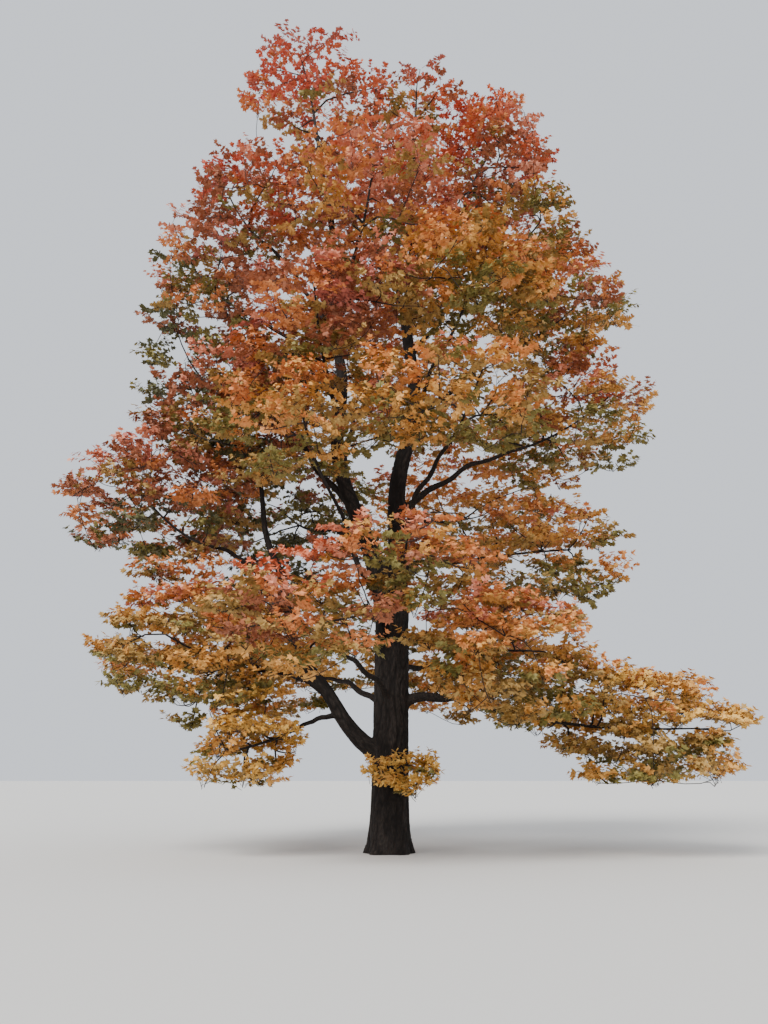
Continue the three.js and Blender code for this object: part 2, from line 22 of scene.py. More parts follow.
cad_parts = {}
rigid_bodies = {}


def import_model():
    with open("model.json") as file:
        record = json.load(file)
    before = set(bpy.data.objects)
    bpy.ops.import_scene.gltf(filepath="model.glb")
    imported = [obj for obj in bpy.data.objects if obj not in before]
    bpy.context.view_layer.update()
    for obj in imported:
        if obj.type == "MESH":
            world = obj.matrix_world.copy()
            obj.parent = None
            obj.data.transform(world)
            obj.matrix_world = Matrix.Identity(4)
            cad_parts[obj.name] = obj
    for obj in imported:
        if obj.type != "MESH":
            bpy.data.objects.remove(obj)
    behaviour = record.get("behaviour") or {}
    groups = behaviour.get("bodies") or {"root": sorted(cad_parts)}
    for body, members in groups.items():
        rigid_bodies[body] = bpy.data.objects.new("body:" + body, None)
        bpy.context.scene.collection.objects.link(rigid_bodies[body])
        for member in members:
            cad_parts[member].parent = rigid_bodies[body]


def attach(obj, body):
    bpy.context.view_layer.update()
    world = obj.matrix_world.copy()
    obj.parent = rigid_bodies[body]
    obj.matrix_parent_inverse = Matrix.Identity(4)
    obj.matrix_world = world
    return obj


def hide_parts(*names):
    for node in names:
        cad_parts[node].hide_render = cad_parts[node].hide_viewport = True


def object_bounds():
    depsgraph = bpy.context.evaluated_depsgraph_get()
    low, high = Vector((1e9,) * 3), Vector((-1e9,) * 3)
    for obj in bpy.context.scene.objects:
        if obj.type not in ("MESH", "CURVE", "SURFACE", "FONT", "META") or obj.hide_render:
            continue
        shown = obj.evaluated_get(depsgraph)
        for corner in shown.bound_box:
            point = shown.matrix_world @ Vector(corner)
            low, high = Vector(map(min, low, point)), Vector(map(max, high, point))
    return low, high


bl_info = {
    "name": "Autumn Maple",
    "version": (1, 0, 0),
    "blender": (4, 5, 0),
    "location": "3D View > Sidebar > Maple",
    "description": "Grows a large maple in autumn leaf on its packed solid frame",
    "category": "Add Mesh",
}

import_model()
SOLID_BOX = [np.array(corner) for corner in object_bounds()]

SEED = 1573
UP = np.array([0.0, 0.0, 1.0])
GOLDEN_ANGLE = math.pi * (3 - math.sqrt(5))
TINY = 1e-9
HOLD = "root"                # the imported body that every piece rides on

# Trunk, with the same sizes as the solid's
TRUNK_HEIGHT = 6.5
TRUNK_LEAN = 0.1             # how far the fork lies to the right of the foot
TRUNK_WIDTHS = (0.86, 0.8)   # diameter above the flare and below the fork
FLARE = 0.13                 # how much the root flare adds to the radius at the ground
FLARE_HEIGHT = 0.42          # height in which it fades to a third
RIDGE = 0.07
RIDGES = 5
DOME_SHARE = 0.9             # share of the height where the trunk starts to round off into the fork
CROTCH_WIDTH = 0.34

# Boughs: shares of their own length or girth, as in the solid
TIP_SHARE = 0.25
LEAST_TIP = 0.085            # least diameter of a tip
TAPER_POWER = 0.8
COLLAR = 0.28                # how much the swelling at the root adds to the girth
COLLAR_LENGTH = 1.6          # length in which it fades to a third
CROOK = 0.014                # how far a bough wanders from its sweep, and how fast it does
CROOK_TURNS = (11, 17)
PHASE_STEP = 2.4
HANDLE = 0.36                # share of the span over which a bough keeps its rise at either end
ENTRY = 0.86                 # measure of the mass's space at which its bough ends

# Crown: one row for each bough and the mass at its tip. parent and at say where the bough starts, leave and
# arrive are its rises at root and tip, girth is its root diameter, heading, reach and height place the middle
# of the mass, and out, across and up are the half sizes of the mass's space.
Row = namedtuple("Row", "place limb parent at leave arrive girth heading reach height out across up colour")
CROWN = (
    Row("top_left", "left_leader", "trunk", 0.87, 64, 80, 0.5,
        182, 2.35, 21.35, 2.25, 2.3, 2.2, "scarlet"),
    Row("top_middle", "right_leader", "trunk", 0.87, 82, 86, 0.56,
        28, 1.0, 21.6, 1.3, 1.9, 1.45, "scarlet"),
    Row("left_middle", "left_bough", "trunk", 0.3, 34, 80, 0.42,
        193, 4.0, 10.4, 2.0, 2.1, 1.62, "rose"),
    Row("low_left", "bough_low_left", "left_bough", 0.27, 35, 0, 0.2,
        191, 4.75, 4.65, 2.4, 2.3, 1.72, "amber"),
    Row("low_left_hanging", "bough_low_left_hanging", "left_bough", 0.2, -6, -30, 0.13,
        200, 3.4, 2.3, 1.4, 1.5, 1.22, "gold"),
    Row("left_tier", "bough_left_tier", "left_bough", 0.56, 42, 12, 0.2,
        182, 5.9, 8.3, 2.6, 2.5, 1.92, "rose"),
    Row("front_low", "bough_front_low", "trunk", 0.5, 38, 8, 0.16,
        247, 4.7, 4.7, 1.8, 2.2, 1.35, "orange"),
    Row("front_arch", "bough_front_arch", "trunk", 0.72, 48, 8, 0.18,
        274, 4.4, 5.95, 1.6, 1.6, 1.0, "orange"),
    Row("front_left", "second_stem", "trunk", 0.55, 72, 35, 0.27,
        242, 3.9, 9.1, 2.0, 2.15, 1.55, "amber"),
    Row("front_right", "bough_front_right", "right_leader", 0.1, 46, 12, 0.19,
        295, 4.2, 9.6, 1.8, 2.25, 1.37, "amber"),
    Row("front_high_left", "bough_front_high_left", "left_leader", 0.3, 48, 10, 0.17,
        243, 3.7, 12.1, 1.8, 2.3, 1.6, "rose"),
    Row("front_high_right", "bough_front_high_right", "right_leader", 0.33, 55, 25, 0.17,
        307, 3.5, 13.3, 2.0, 2.25, 1.8, "amber"),
    Row("centre_high", "bough_centre_high", "left_leader", 0.52, 72, 50, 0.14,
        254, 1.9, 16.8, 2.2, 2.9, 1.9, "orange"),
    Row("left_side", "bough_left_side", "left_leader", 0.2, 42, 15, 0.19,
        176, 5.2, 12.4, 2.0, 2.3, 1.82, "moss"),
    Row("left_high", "bough_left_high", "left_leader", 0.42, 50, 28, 0.16,
        179, 5.15, 15.1, 1.7, 2.4, 1.72, "rose"),
    Row("left_shoulder", "bough_left_shoulder", "left_leader", 0.58, 52, 40, 0.14,
        178, 4.4, 17.6, 1.9, 2.4, 1.77, "scarlet"),
    Row("right_peak", "bough_right_peak", "right_leader", 0.6, 58, 72, 0.15,
        355, 3.1, 19.2, 1.65, 2.0, 2.0, "scarlet"),
    Row("right_shoulder", "bough_right_shoulder", "right_leader", 0.48, 52, 34, 0.15,
        3, 4.2, 16.9, 1.65, 2.3, 1.62, "orange"),
    Row("right_high", "bough_right_high", "right_leader", 0.34, 46, 22, 0.17,
        1, 5.0, 14.1, 1.85, 2.4, 1.57, "orange"),
    Row("right_tip", "bough_right_tip", "right_leader", 0.17, 36, 14, 0.2,
        359, 5.0, 10.75, 2.35, 2.4, 1.72, "orange"),
    Row("right_tier", "bough_right_tier", "right_leader", 0.07, 22, 10, 0.18,
        356, 3.9, 7.0, 2.2, 2.3, 1.62, "amber"),
    Row("right_inner", "bough_right_inner", "trunk", 0.73, 24, -14, 0.2,
        315, 3.5, 4.25, 2.0, 2.3, 1.6, "amber"),
    Row("right_sweep", "bough_right_sweep", "trunk", 0.49, 33, -12, 0.27,
        352, 5.85, 2.75, 2.6, 2.05, 1.52, "gold"),
    Row("back_low_left", "bough_back_low_left", "trunk", 0.46, 36, 4, 0.2,
        127, 4.9, 5.0, 2.6, 2.8, 2.1, "gold"),
    Row("back_low_right", "bough_back_low_right", "trunk", 0.6, 30, 0, 0.2,
        58, 4.9, 4.8, 2.6, 2.8, 2.05, "amber"),
    Row("back_left", "bough_back_left", "left_leader", 0.1, 44, 8, 0.19,
        127, 4.9, 9.3, 2.6, 2.9, 2.35, "moss"),
    Row("back_right", "bough_back_right", "right_leader", 0.12, 46, 8, 0.19,
        57, 4.7, 9.5, 2.6, 2.9, 2.35, "amber"),
    Row("back_high", "bough_back_high", "left_leader", 0.26, 58, 15, 0.17,
        99, 3.9, 13.9, 2.6, 3.8, 2.5, "orange"),
    Row("back_top", "bough_back_top", "right_leader", 0.52, 68, 38, 0.14,
        98, 2.2, 18.0, 2.5, 3.0, 2.6, "scarlet"),
)
TUFT = Row("trunk_tuft", None, "trunk", 0.27, 25, 25, 0.07,
           287, 1.1, 1.85, 0.72, 0.95, 0.6, "gold")
ROWS = CROWN + (TUFT,)
STOUT = ("trunk", "left_leader", "right_leader", "left_bough", "second_stem")

# Reach of the foliage. A measure is 0 in the middle of a mass's space and 1 at its outside.
BETWEEN = 1.3                # measure out to which a mass fills the gap to a neighbour, on its own side
PAD_LIMIT = 0.86             # measure of the furthest pads, so that their shoots end at the outside
HOLLOW = 0.3                 # measure of the nearest pads, as it is too dark for leaves further in
LEAF_LIMIT = 1.06            # measure of the furthest leaf tips
PAD_SLACK = 0.03             # how far over a neighbour's side a pad, a shoot and a leaf may lean
SHOOT_SLACK = 0.12
LEAF_SLACK = 0.24
BOX_SLACK = 0.015            # how far a leaf may pass the solid's box, as a share of the box's side
LOWEST = 0.3                 # height above the ground of the lowest leaves
BOUGH_GAP = 0.03             # how far a leaf keeps from a bough
BOUGH_STEP = 0.3             # how far apart a bough is read to find that gap

# Leaves in each mass, as a share of what its size alone would give it. The others have a fullness of 1.
FULLNESS = {
    "top_left": 0.3, "top_middle": 0.32, "right_peak": 0.6, "left_shoulder": 0.38, "left_high": 0.5,
    "left_side": 0.28, "centre_high": 0.46, "right_shoulder": 0.62, "right_high": 0.62, "right_tip": 0.58,
    "left_tier": 0.72, "front_arch": 0.75, "front_left": 0.55, "front_right": 0.8, "front_low": 0.8,
    "back_top": 0.33, "back_high": 0.36, "back_left": 0.45, "back_right": 0.45, "right_tier": 0.55,
    "back_low_left": 0.5, "back_low_right": 0.55, "low_left_hanging": 1.2, "right_inner": 1.2,
    "right_sweep": 1.2, "trunk_tuft": 2.2,
}

# Stem of a mass, which goes on from its bough's tip
STEM_ROOT = 0.1              # how far inside the bough it starts
STEM_REACH = 0.35            # how far past the middle of the mass it runs
STEM_BEND = 0.4              # how far along it its bend lies
STEM_STEPS = 14
STEM_END = 0.045             # diameter of its tip

# Branches, from the stem or from one another to the foot of each pad
STEM_SEATS = (0.12, 0.97, 18)    # first and last place on a stem where a branch may start, and their number
BRANCH_SEATS = (0.35, 0.6, 0.85)
LEAD = 0.12                  # a seat is judged from this far ahead of it, so that branches lean forwards
BRANCH_RISE = 0.5            # how much upwards is added to the direction of a branch
BRANCH_BEND = 0.05           # spread of its bend, as a share of its span
BRANCH_HANDLES = (0.2, 0.25)     # share of the span over which it keeps its direction at root and tip
BRANCH_STEPS = 4
BRANCH_GIRTH = (0.022, 0.034)    # radius at the root of a short branch, and how much each metre adds
PARENT_SHARE = 0.9           # greatest radius at the root, as a share of the parent's
BRANCH_END = 0.009           # radius of its tip
FOOT_DEPTH = 0.5             # how far below the middle of the pad it ends, as a share of the dome's height
FOOT_SHIFT = 0.04            # spread of that end, as a share of the pad's width

# Pads, each a flat dome of leafy shoots
POINTS_TRIED = 5000          # places tried for the pads of one mass
SPREAD = (0.8, 1.2)          # least and greatest share of the usual width or number
SPIRAL_SHIFT = 0.2           # how far a shoot may be turned from its even place, in radians
FEWEST_SHOOTS = 2
STEEPEST_FALL = -0.25        # how far below level a shoot may point
SHOOT_REACH = (0.75, 1.2)    # least and greatest length, as a share of the dome's size
SHOOT_UP = 0.8               # how much upwards is added to the side that a shoot turns to the light
ROOT_SHIFT = 0.05            # spread of the shoots' roots, as a share of the pad's width

# A shoot in its own unit length: side shoots as (place, side, length), leaf pairs along the main shoot, and
# leaf pairs along each side shoot. Every shoot also ends in a leaf. Radii are in metres, from root to tip.
SIDE_SHOOTS = ((0.36, 1, 0.5), (0.46, -1, 0.46))
MAIN_PAIRS = (0.26, 0.46, 0.64, 0.8, 0.94)
SIDE_PAIRS = (0.3, 0.52, 0.74, 0.93)
SHOOT_ANGLE = math.radians(46)
LEAF_ANGLE = math.radians(56)
SHOOT_ARCH = 0.07            # how far the middle of a shoot lies above its ends
SIDE_FALL = 0.06             # how much side shoots droop, and the spread of their direction
SIDE_TURN = 0.12
MAIN_RADII = (0.006, 0.0045, 0.002)
SIDE_RADII = (0.0035, 0.0015)

# Leaf outline in unit length, with its stalk end at the origin: lower lobe, side lobe, notch
LEAF_HALF = ((0.42, 0.08), (0.56, 0.56), (0.17, 0.58))
LEAF_FOLD = 0.22             # how far the halves fold up from the midrib
TIP_FALL = 0.14              # how far the tip and the side lobes droop
LOBE_FALL = 0.2
LEAF_FALL = 0.28             # how far a leaf hangs from the line of its stalk, and the spread round it
LEAF_TURN = 0.26
LEAF_FACE_UP = 0.35          # how much upwards is added to its facing, and the spread round it
LEAF_TILT = 0.34
LEAF_SHIFT = 0.015           # spread of its place
LEAF_SPREAD = 0.16           # spread of the leaves' lengths, and the least and greatest
LEAF_SHARES = (0.6, 1.4)

# Skin of the stout wood
BELOW = 0.3                  # how far the trunk goes below ground before it is cut flat
TRUNK_SIDES = 48             # corners in each ring
TRUNK_SHARES = ((0, 0.25, 22), (0.28, 1, 30))    # close rings over the flare, wider ones above it
LIMB_SIDES = 20
LIMB_STEP = 0.2
ROOT_SIDES = 14
ROOT_RINGS = 8
ROOT_REACH = 1.6             # how far the swollen root of a bough shows, in its girths
ROOT_SWELL = (1.22, 0.34)    # how stout it is at the root, and how much less at its end, in the bough's girth
SOFTENING = 4                # rounds of smoothing where limbs meet
BATCH = 20000                # points read at once

# Bark
READ_STEP = 0.12             # how far apart a limb is read to find where its bark lies
PATTERN_STEP = 5.3           # how far the pattern moves on from one limb to the next
JOINT_FADE = (1.04, 1.3)     # furrows fade in as the next limb gets this much further away than the nearest
PLATE_LENGTH = 4.6           # length of the plates between furrows over their width
WANDER = (0.7, 0.35)         # how often and how far the furrows wander
FINE_FURROWS = 1.9           # fine furrows to each wide one
FINE_SHIFT = Vector((9, 4, 2))   # keeps the fine pattern apart from the wide one
WIDE_EDGE = 0.2              # share of the pattern that the wide furrows take, and the fine ones
FINE_EDGE = 0.14
FINE_DEPTH = 0.6             # depth of the fine furrows over that of the wide ones
FURROW_RADII = (0.05, 0.38)  # radius where the furrows start, and how much more gives them their full depth
LEAST_FURROW = 0.08          # depth on thin limbs, as a share of the full one
PLATE_RISE = 0.3             # how far the plates stand out, as a share of the depth
RIM = 0.002                  # the rim of the cut keeps its height
GRAIN_STRETCH = (1, 1, 0.22)     # the grain is drawn out along the limb
BOUGH_RING = 0.11            # distance between the rings of a bough
KNOTS = 0.035                # spread of its radius

# Studio
FLOOR_HALF = 900             # half width of the floor, so that its edge lies at the horizon
SENSOR = 36                  # width of the camera's sensor in millimetres
FARTHEST = 2000              # how far the camera sees
LIGHTS = (("key", 30, (48, 0, -32)), ("fill", 60, (84, 0, 14)))    # name, spread and turn in degrees

# Leaf colours as they look at the end of October, and how each mass deals them out to the tops, the sides and
# the undersides of its foliage. The tops take the paler, pinker tints and the undersides the darker olive and
# moss. This is partly the redder sun leaves and greener shade leaves of a real maple, and partly painted
# highlight on the tops and painted shade beneath.
TINTS = {
    "scarlet": "#c35a42", "red_orange": "#cd6d48", "rust": "#a46547", "rose": "#bb6c5b",
    "salmon": "#d88c6e", "orange": "#cf834d", "bright_orange": "#de9757", "amber": "#ce974e",
    "gold": "#dbac58", "ochre": "#a9864a", "olive": "#84783f", "moss": "#5c5a38",
    "maroon": "#704640",
}
TINT_NAMES = tuple(TINTS)
DEAL_WITH_PAINTED_LIGHT = {
    "scarlet": (("red_orange", "scarlet", "salmon", "rose"), ("red_orange", "orange", "rust", "scarlet"),
                ("rust", "ochre", "rust", "olive")),
    "rose": (("salmon", "rose", "salmon", "rust"), ("rust", "ochre", "rust", "orange"),
             ("ochre", "olive", "rust", "moss")),
    "orange": (("salmon", "red_orange", "orange", "salmon"), ("orange", "ochre", "rust", "amber"),
               ("ochre", "olive", "amber", "olive")),
    "amber": (("orange", "salmon", "bright_orange", "orange"), ("amber", "ochre", "bright_orange", "amber"),
              ("ochre", "olive", "amber", "olive")),
    "gold": (("bright_orange", "amber", "gold", "gold"), ("gold", "amber", "gold", "ochre"),
             ("amber", "ochre", "gold", "olive")),
    # The moss recipe deals dark olive, moss and maroon tints. These are partly leaves still green, and partly
    # painted shade of a mass in shade.
    "moss": (("rose", "rust", "ochre", "olive"), ("olive", "moss", "rust", "olive"),
             ("moss", "olive", "maroon", "moss")),
}

# Which of the three a shoot takes. Its level rises with its height in the mass and in its pad. So the tops
# of masses and pads get the paler tints, partly as painted highlight, and their undersides get the darker
# ones, partly as painted shade.
LIT_TOP_LEVEL = 0.66             # least level of the tops and of the sides
SIDE_LEVEL = 0.28
MIDDLE_LEVEL = 0.41          # level in the middle of a mass, and how much it rises to its top
RISE_IN_MASS = 0.42
RISE_IN_PAD = 0.3            # how much it rises in a pad, from the height given next
MIDDLE_OF_PAD = 0.35
PAD_CHANCE = 0.12            # spread of the level by pad and by shoot
SHOOT_CHANCE = 0.05
MAIN_TINT = 0.7              # share of a pad's shoots that have its main tint

# How much redder than their height alone would make them some masses are
REDDER = {
    "centre_high": 0.22, "front_high_left": 0.16, "right_peak": 0.14, "left_high": 0.06, "left_side": -0.1,
    "front_right": -0.08,
}


# Numbers and lines

def unit(vector):
    """Each vector at a length of 1."""
    return vector / np.maximum(np.linalg.norm(vector, axis=-1, keepdims=True), TINY)


def direction(heading, rise):
    """The unit vector with this heading and rise."""
    turn, lift = math.radians(heading), math.radians(rise)
    return np.array([math.cos(lift) * math.cos(turn), math.cos(lift) * math.sin(turn), math.sin(lift)])


def smooth_step(low, high, value):
    """Runs from 0 at low to 1 at high, and is level at both."""
    share = np.clip((value - low) / (high - low), 0, 1)
    return share * share * (3 - 2 * share)


def bezier(corners, steps):
    """Points of the curve with these control points."""
    share = np.linspace(0, 1, steps + 1)[:, None]
    level = [np.asarray(corner, float)[None] for corner in corners]
    while len(level) > 1:
        level = [a + (b - a) * share for a, b in zip(level, level[1:])]
    return level[0]


def even_directions(count, rng):
    """Even directions on a golden spiral, each turned a little by chance."""
    number = np.arange(count)
    height = 1 - (2 * number + 1) / count
    turn = rng.uniform(0, 2 * math.pi) + number * GOLDEN_ANGLE
    turn = turn + rng.uniform(-SPIRAL_SHIFT, SPIRAL_SHIFT, count)
    flat = np.sqrt(1 - height * height)
    return np.stack([flat * np.cos(turn), flat * np.sin(turn), height], axis=1)


class Line:
    """A curve kept as close points, and read by the share of its length."""

    def __init__(self, points):
        self.points = np.asarray(points, float)
        steps = np.linalg.norm(np.diff(self.points, axis=0), axis=1)
        self.length = steps.sum()
        self.shares = np.concatenate([[0], np.cumsum(steps)]) / self.length

    def at(self, share):
        """The point at this share of the length."""
        return np.stack([np.interp(share, self.shares, self.points[:, k]) for k in range(3)], axis=-1)

    def along(self, share):
        """The direction of the line there."""
        step = 0.01
        return unit(self.at(min(share + step, 1)) - self.at(max(share - step, 0)))

    def rings(self, shares):
        """Centres, tangents and two sideways directions, which turn as little as they can."""
        centres = self.at(shares)
        tangents = unit(np.gradient(centres, axis=0))
        steep = abs(tangents[0].dot(UP)) > 0.9
        normal = np.cross(tangents[0], (1, 0, 0) if steep else UP)
        normals = []
        for tangent in tangents:
            normal = unit(normal - tangent * normal.dot(tangent))
            normals.append(normal)
        normals = np.array(normals)
        return centres, tangents, normals, np.cross(tangents, normals)


# Spaces of the masses

class Space:
    """An ellipsoid with one axis out from the trunk. Its measure is 0 in the middle and 1 at the outside."""

    def __init__(self, row):
        self.middle = direction(row.heading, 0) * row.reach + UP * row.height
        self.axes = np.array([direction(row.heading, 0), direction(row.heading + 90, 0), UP])
        self.halves = np.array([row.out, row.across, row.up])

    def measure(self, points):
        """How far out each point lies."""
        return np.linalg.norm(((points - self.middle) @ self.axes.T) / self.halves, axis=-1)

    def place(self, towards):
        """The point that lies this way out, in half sizes."""
        return self.middle + (towards * self.halves) @ self.axes


SPACES = {row.place: Space(row) for row in ROWS}


def lead_over_others(points, place):
    """How much further in each point lies in its own space than in a neighbour's. Below 0 it trespasses."""
    own = SPACES[place].measure(points)
    others = np.stack([space.measure(points) for name, space in SPACES.items() if name != place])
    return others.min(axis=0) - own


# Limbs

Limb = namedtuple("Limb", "line diameter")


def trunk_radius(height, angle):
    """Radius of the trunk at a height above the ground, for an angle round it."""
    share = np.clip(height / TRUNK_HEIGHT, 0, 1)
    fade = np.exp(-height / FLARE_HEIGHT)
    shaft = (TRUNK_WIDTHS[0] + (TRUNK_WIDTHS[1] - TRUNK_WIDTHS[0]) * share) / 2
    dome = np.clip((share - DOME_SHARE) / (1 - DOME_SHARE), 0, 1) ** 2
    shaft = shaft + (CROTCH_WIDTH / 2 - shaft) * dome
    return shaft + fade * (FLARE + RIDGE * np.cos(RIDGES * angle))


def bough_diameter(row, length, share):
    """Diameter of a bough of this length at a share of it."""
    tip = max(row.girth * TIP_SHARE, LEAST_TIP)
    collar = row.girth * COLLAR * np.exp(-share * length / (row.girth * COLLAR_LENGTH))
    return row.girth + (tip - row.girth) * share ** TAPER_POWER + collar


def bough_line(start, leaving, end, arriving, phase):
    """A smooth sweep between two rises, with a slight wander that fades at both ends."""
    span = np.linalg.norm(end - start)
    steps = 200
    share = np.linspace(0, 1, steps + 1)
    points = bezier([start, start + leaving * span * HANDLE, end - arriving * span * HANDLE, end], steps)
    sideways = unit(np.cross(end - start, UP))
    upwards = unit(np.cross(sideways, end - start))
    fade = span * CROOK * np.sin(math.pi * share)
    aside = fade * np.sin(CROOK_TURNS[0] * share + phase)
    lift = fade * np.sin(CROOK_TURNS[1] * share + 2 * phase)
    return Line(points + aside[:, None] * sideways + lift[:, None] * upwards)


@lru_cache(maxsize=None)
def grow_limbs():
    """The trunk and the boughs, by name."""
    trunk_line = Line([(0, 0, 0), (TRUNK_LEAN, 0, TRUNK_HEIGHT)])
    limbs = {"trunk": Limb(trunk_line, lambda share: 2 * trunk_radius(share * TRUNK_HEIGHT, 0))}
    for number, row in enumerate(CROWN):
        space = SPACES[row.place]
        start = limbs[row.parent].line.at(row.at)
        inwards = start - space.middle
        end = space.middle + inwards * ENTRY / space.measure(start)
        run = end - start
        heading = math.degrees(math.atan2(run[1], run[0]))
        line = bough_line(start, direction(heading, row.leave), end, direction(heading, row.arrive),
                          number * PHASE_STEP)
        limbs[row.limb] = Limb(line, partial(bough_diameter, row, line.length))
    return limbs


# Twigs, shoots and leaves of one mass

Growth = namedtuple("Growth", "wood leaf_places leaf_turns leaf_sizes leaf_tints")


def inside_box(points, slack):
    """True in the solid's box, passed by a share of its sides, and clear of the ground."""
    low, high = SOLID_BOX
    margin = slack * (high - low)
    lowest = np.array([low[0] - margin[0], low[1] - margin[1], LOWEST])
    return np.all((points > lowest) & (points < high + margin), axis=-1)


def in_reach(points, place, limit, slack, box_slack=BOX_SLACK):
    """True in the mass's own space, and between it and a neighbour, on its own side of the gap."""
    own = SPACES[place].measure(points)
    lead = lead_over_others(points, place)
    between = np.maximum(own, own + lead) < BETWEEN * limit
    return ((own < limit) | between) & (lead > -slack) & inside_box(points, box_slack)


def place_pads(row, rng, sizes):
    """Middles and widths of the flat domes of foliage, spread evenly through the mass's own space.

    Half of a mass's fullness goes into the number of its pads, and half into the shoots of each.
    """
    space = SPACES[row.place]
    fullness = FULLNESS.get(row.place, 1)
    spacing = sizes.pad_spacing / fullness ** (1 / 6) * np.array([1, 1, sizes.pad_flatness])
    towards = unit(rng.normal(0, 1, (POINTS_TRIED, 3))) * rng.random((POINTS_TRIED, 1)) ** (1 / 3) * BETWEEN
    middles = space.place(towards)
    far_out = np.linalg.norm(towards, axis=1) > HOLLOW
    fit = in_reach(middles, row.place, PAD_LIMIT, PAD_SLACK) & far_out
    chosen = np.empty((0, 3))
    for middle in middles[fit]:
        if not len(chosen) or np.linalg.norm((chosen - middle) / spacing, axis=1).min() > 1:
            chosen = np.vstack([chosen, middle])
    return [(middle, sizes.pad_width * rng.uniform(*SPREAD)) for middle in chosen]


def grow_branches(stem, stem_radii, pads, rng, flatness):
    """Branches from the stem, or from one another, to the foot of each pad. Far pads grow first."""
    wood = [(stem.points, stem_radii, True)]
    shares = np.linspace(*STEM_SEATS)
    radii = np.interp(shares, stem.shares, stem_radii)
    seats = [(stem.at(share), stem.along(share), radius) for share, radius in zip(shares, radii)]
    feet = []
    far_first = sorted(pads, key=lambda pad: -min(np.linalg.norm(pad[0] - seat[0]) for seat in seats))
    for middle, width in far_first:
        foot = middle - UP * width * flatness * FOOT_DEPTH + rng.normal(0, FOOT_SHIFT, 3) * width
        reach = [np.linalg.norm(foot - point - tangent * LEAD) for point, tangent, _ in seats]
        point, tangent, radius = seats[int(np.argmin(reach))]
        span = np.linalg.norm(foot - point)
        rising = unit(unit(foot - point) + UP * BRANCH_RISE)
        bend = rng.normal(0, BRANCH_BEND, 3) * span
        leaving = point + (tangent + rising) * BRANCH_HANDLES[0] * span + bend
        arriving = foot - rising * BRANCH_HANDLES[1] * span + bend
        line = Line(bezier([point, leaving, arriving, foot], BRANCH_STEPS))
        root = min(PARENT_SHARE * radius, BRANCH_GIRTH[0] + BRANCH_GIRTH[1] * span)
        wood.append((line.points, np.linspace(root, BRANCH_END, len(line.points)), True))
        for share in BRANCH_SEATS:
            seats.append((line.at(share), line.along(share), np.interp(share, [0, 1], [root, BRANCH_END])))
        feet.append((foot, middle, width))
    return wood, feet


def recipe(row, level):
    """The tints dealt out at this level of a mass."""
    top, side, under = DEAL_WITH_PAINTED_LIGHT[row.colour]
    return top if level > LIT_TOP_LEVEL else side if level > SIDE_LEVEL else under


def shoots_of_pad(row, foot, middle, width, rng, sizes):
    """Root, tip, upward side and tint of each leafy shoot of a dome.

    A mass is redder and paler towards its top and darker beneath, and so is each pad. This is partly the
    colour of sun and shade leaves, and partly painted highlight and painted shade. Most shoots of a pad share
    one tint.
    """
    usual = sizes.shoots_per_pad * FULLNESS.get(row.place, 1) ** 0.5
    count = max(FEWEST_SHOOTS, round(usual * rng.uniform(*SPREAD)))
    towards = even_directions(count * 2, rng)
    towards = towards[towards[:, 2] > STEEPEST_FALL]
    towards = towards[rng.permutation(len(towards))[:count]]
    dome = np.array([width, width, width * sizes.pad_flatness])
    tips = middle + towards * (dome * rng.uniform(*SHOOT_REACH, (len(towards), 1)))
    height = (middle[2] - row.height) / row.up
    # Height in the mass and in the pad picks paler tints above, partly as painted highlight, and darker ones
    # below, partly as painted shade.
    level = MIDDLE_LEVEL + REDDER.get(row.place, 0) + RISE_IN_MASS * height + rng.normal(0, PAD_CHANCE)
    levels = level + RISE_IN_PAD * (towards[:, 2] - MIDDLE_OF_PAD) + rng.normal(0, SHOOT_CHANCE, len(towards))
    main = rng.integers(4)
    picks = np.where(rng.random(len(towards)) < MAIN_TINT, main, rng.integers(4, size=len(towards)))
    tints = [TINT_NAMES.index(recipe(row, level)[pick]) for level, pick in zip(levels, picks)]
    roots = foot + rng.normal(0, ROOT_SHIFT, (len(towards), 3)) * width
    sides = unit(unit(tips - middle) + UP * SHOOT_UP)
    return roots, tips, sides, np.array(tints)


def leafy_shoots(roots, tips, sides, tints, rng):
    """Wood and leaf places of many shoots at once. Each shoot arches a little and carries paired leaves."""
    run = tips - roots
    length = np.linalg.norm(run, axis=1, keepdims=True)
    along = run / length
    across = unit(np.cross(sides, along))
    up = np.cross(along, across)
    knee = roots + run * 0.5 + up * length * SHOOT_ARCH

    def on_main(share):
        """The points at this share of the main shoots."""
        below, above = roots + (knee - roots) * share * 2, knee + (tips - knee) * (share * 2 - 1)
        return np.where(share < 0.5, below, above)

    wood = [(np.stack(three), np.array(MAIN_RADII), False) for three in zip(roots, knee, tips)]
    places, headings = [], []

    def add_pair(place, forward, sideways):
        for side in (1, -1):
            places.append(place)
            headings.append(forward * math.cos(LEAF_ANGLE) + side * sideways * math.sin(LEAF_ANGLE))

    for share in MAIN_PAIRS:
        add_pair(on_main(share), along, across)
    places.append(tips)
    headings.append(along)
    for share, side, size in SIDE_SHOOTS:
        base = on_main(share)
        forward = along * math.cos(SHOOT_ANGLE) + side * across * math.sin(SHOOT_ANGLE)
        forward = unit(forward + rng.normal(0, SIDE_TURN, forward.shape) - UP * SIDE_FALL)
        sideways = unit(np.cross(up, forward))
        ends = base + forward * length * size
        wood.extend((np.stack(two), np.array(SIDE_RADII), False) for two in zip(base, ends))
        for pair in SIDE_PAIRS:
            add_pair(base + (ends - base) * pair, forward, sideways)
        places.append(ends)
        headings.append(forward)
    owner = np.tile(np.arange(len(roots)), len(places))
    return wood, np.concatenate(places), np.concatenate(headings), tints[owner], owner


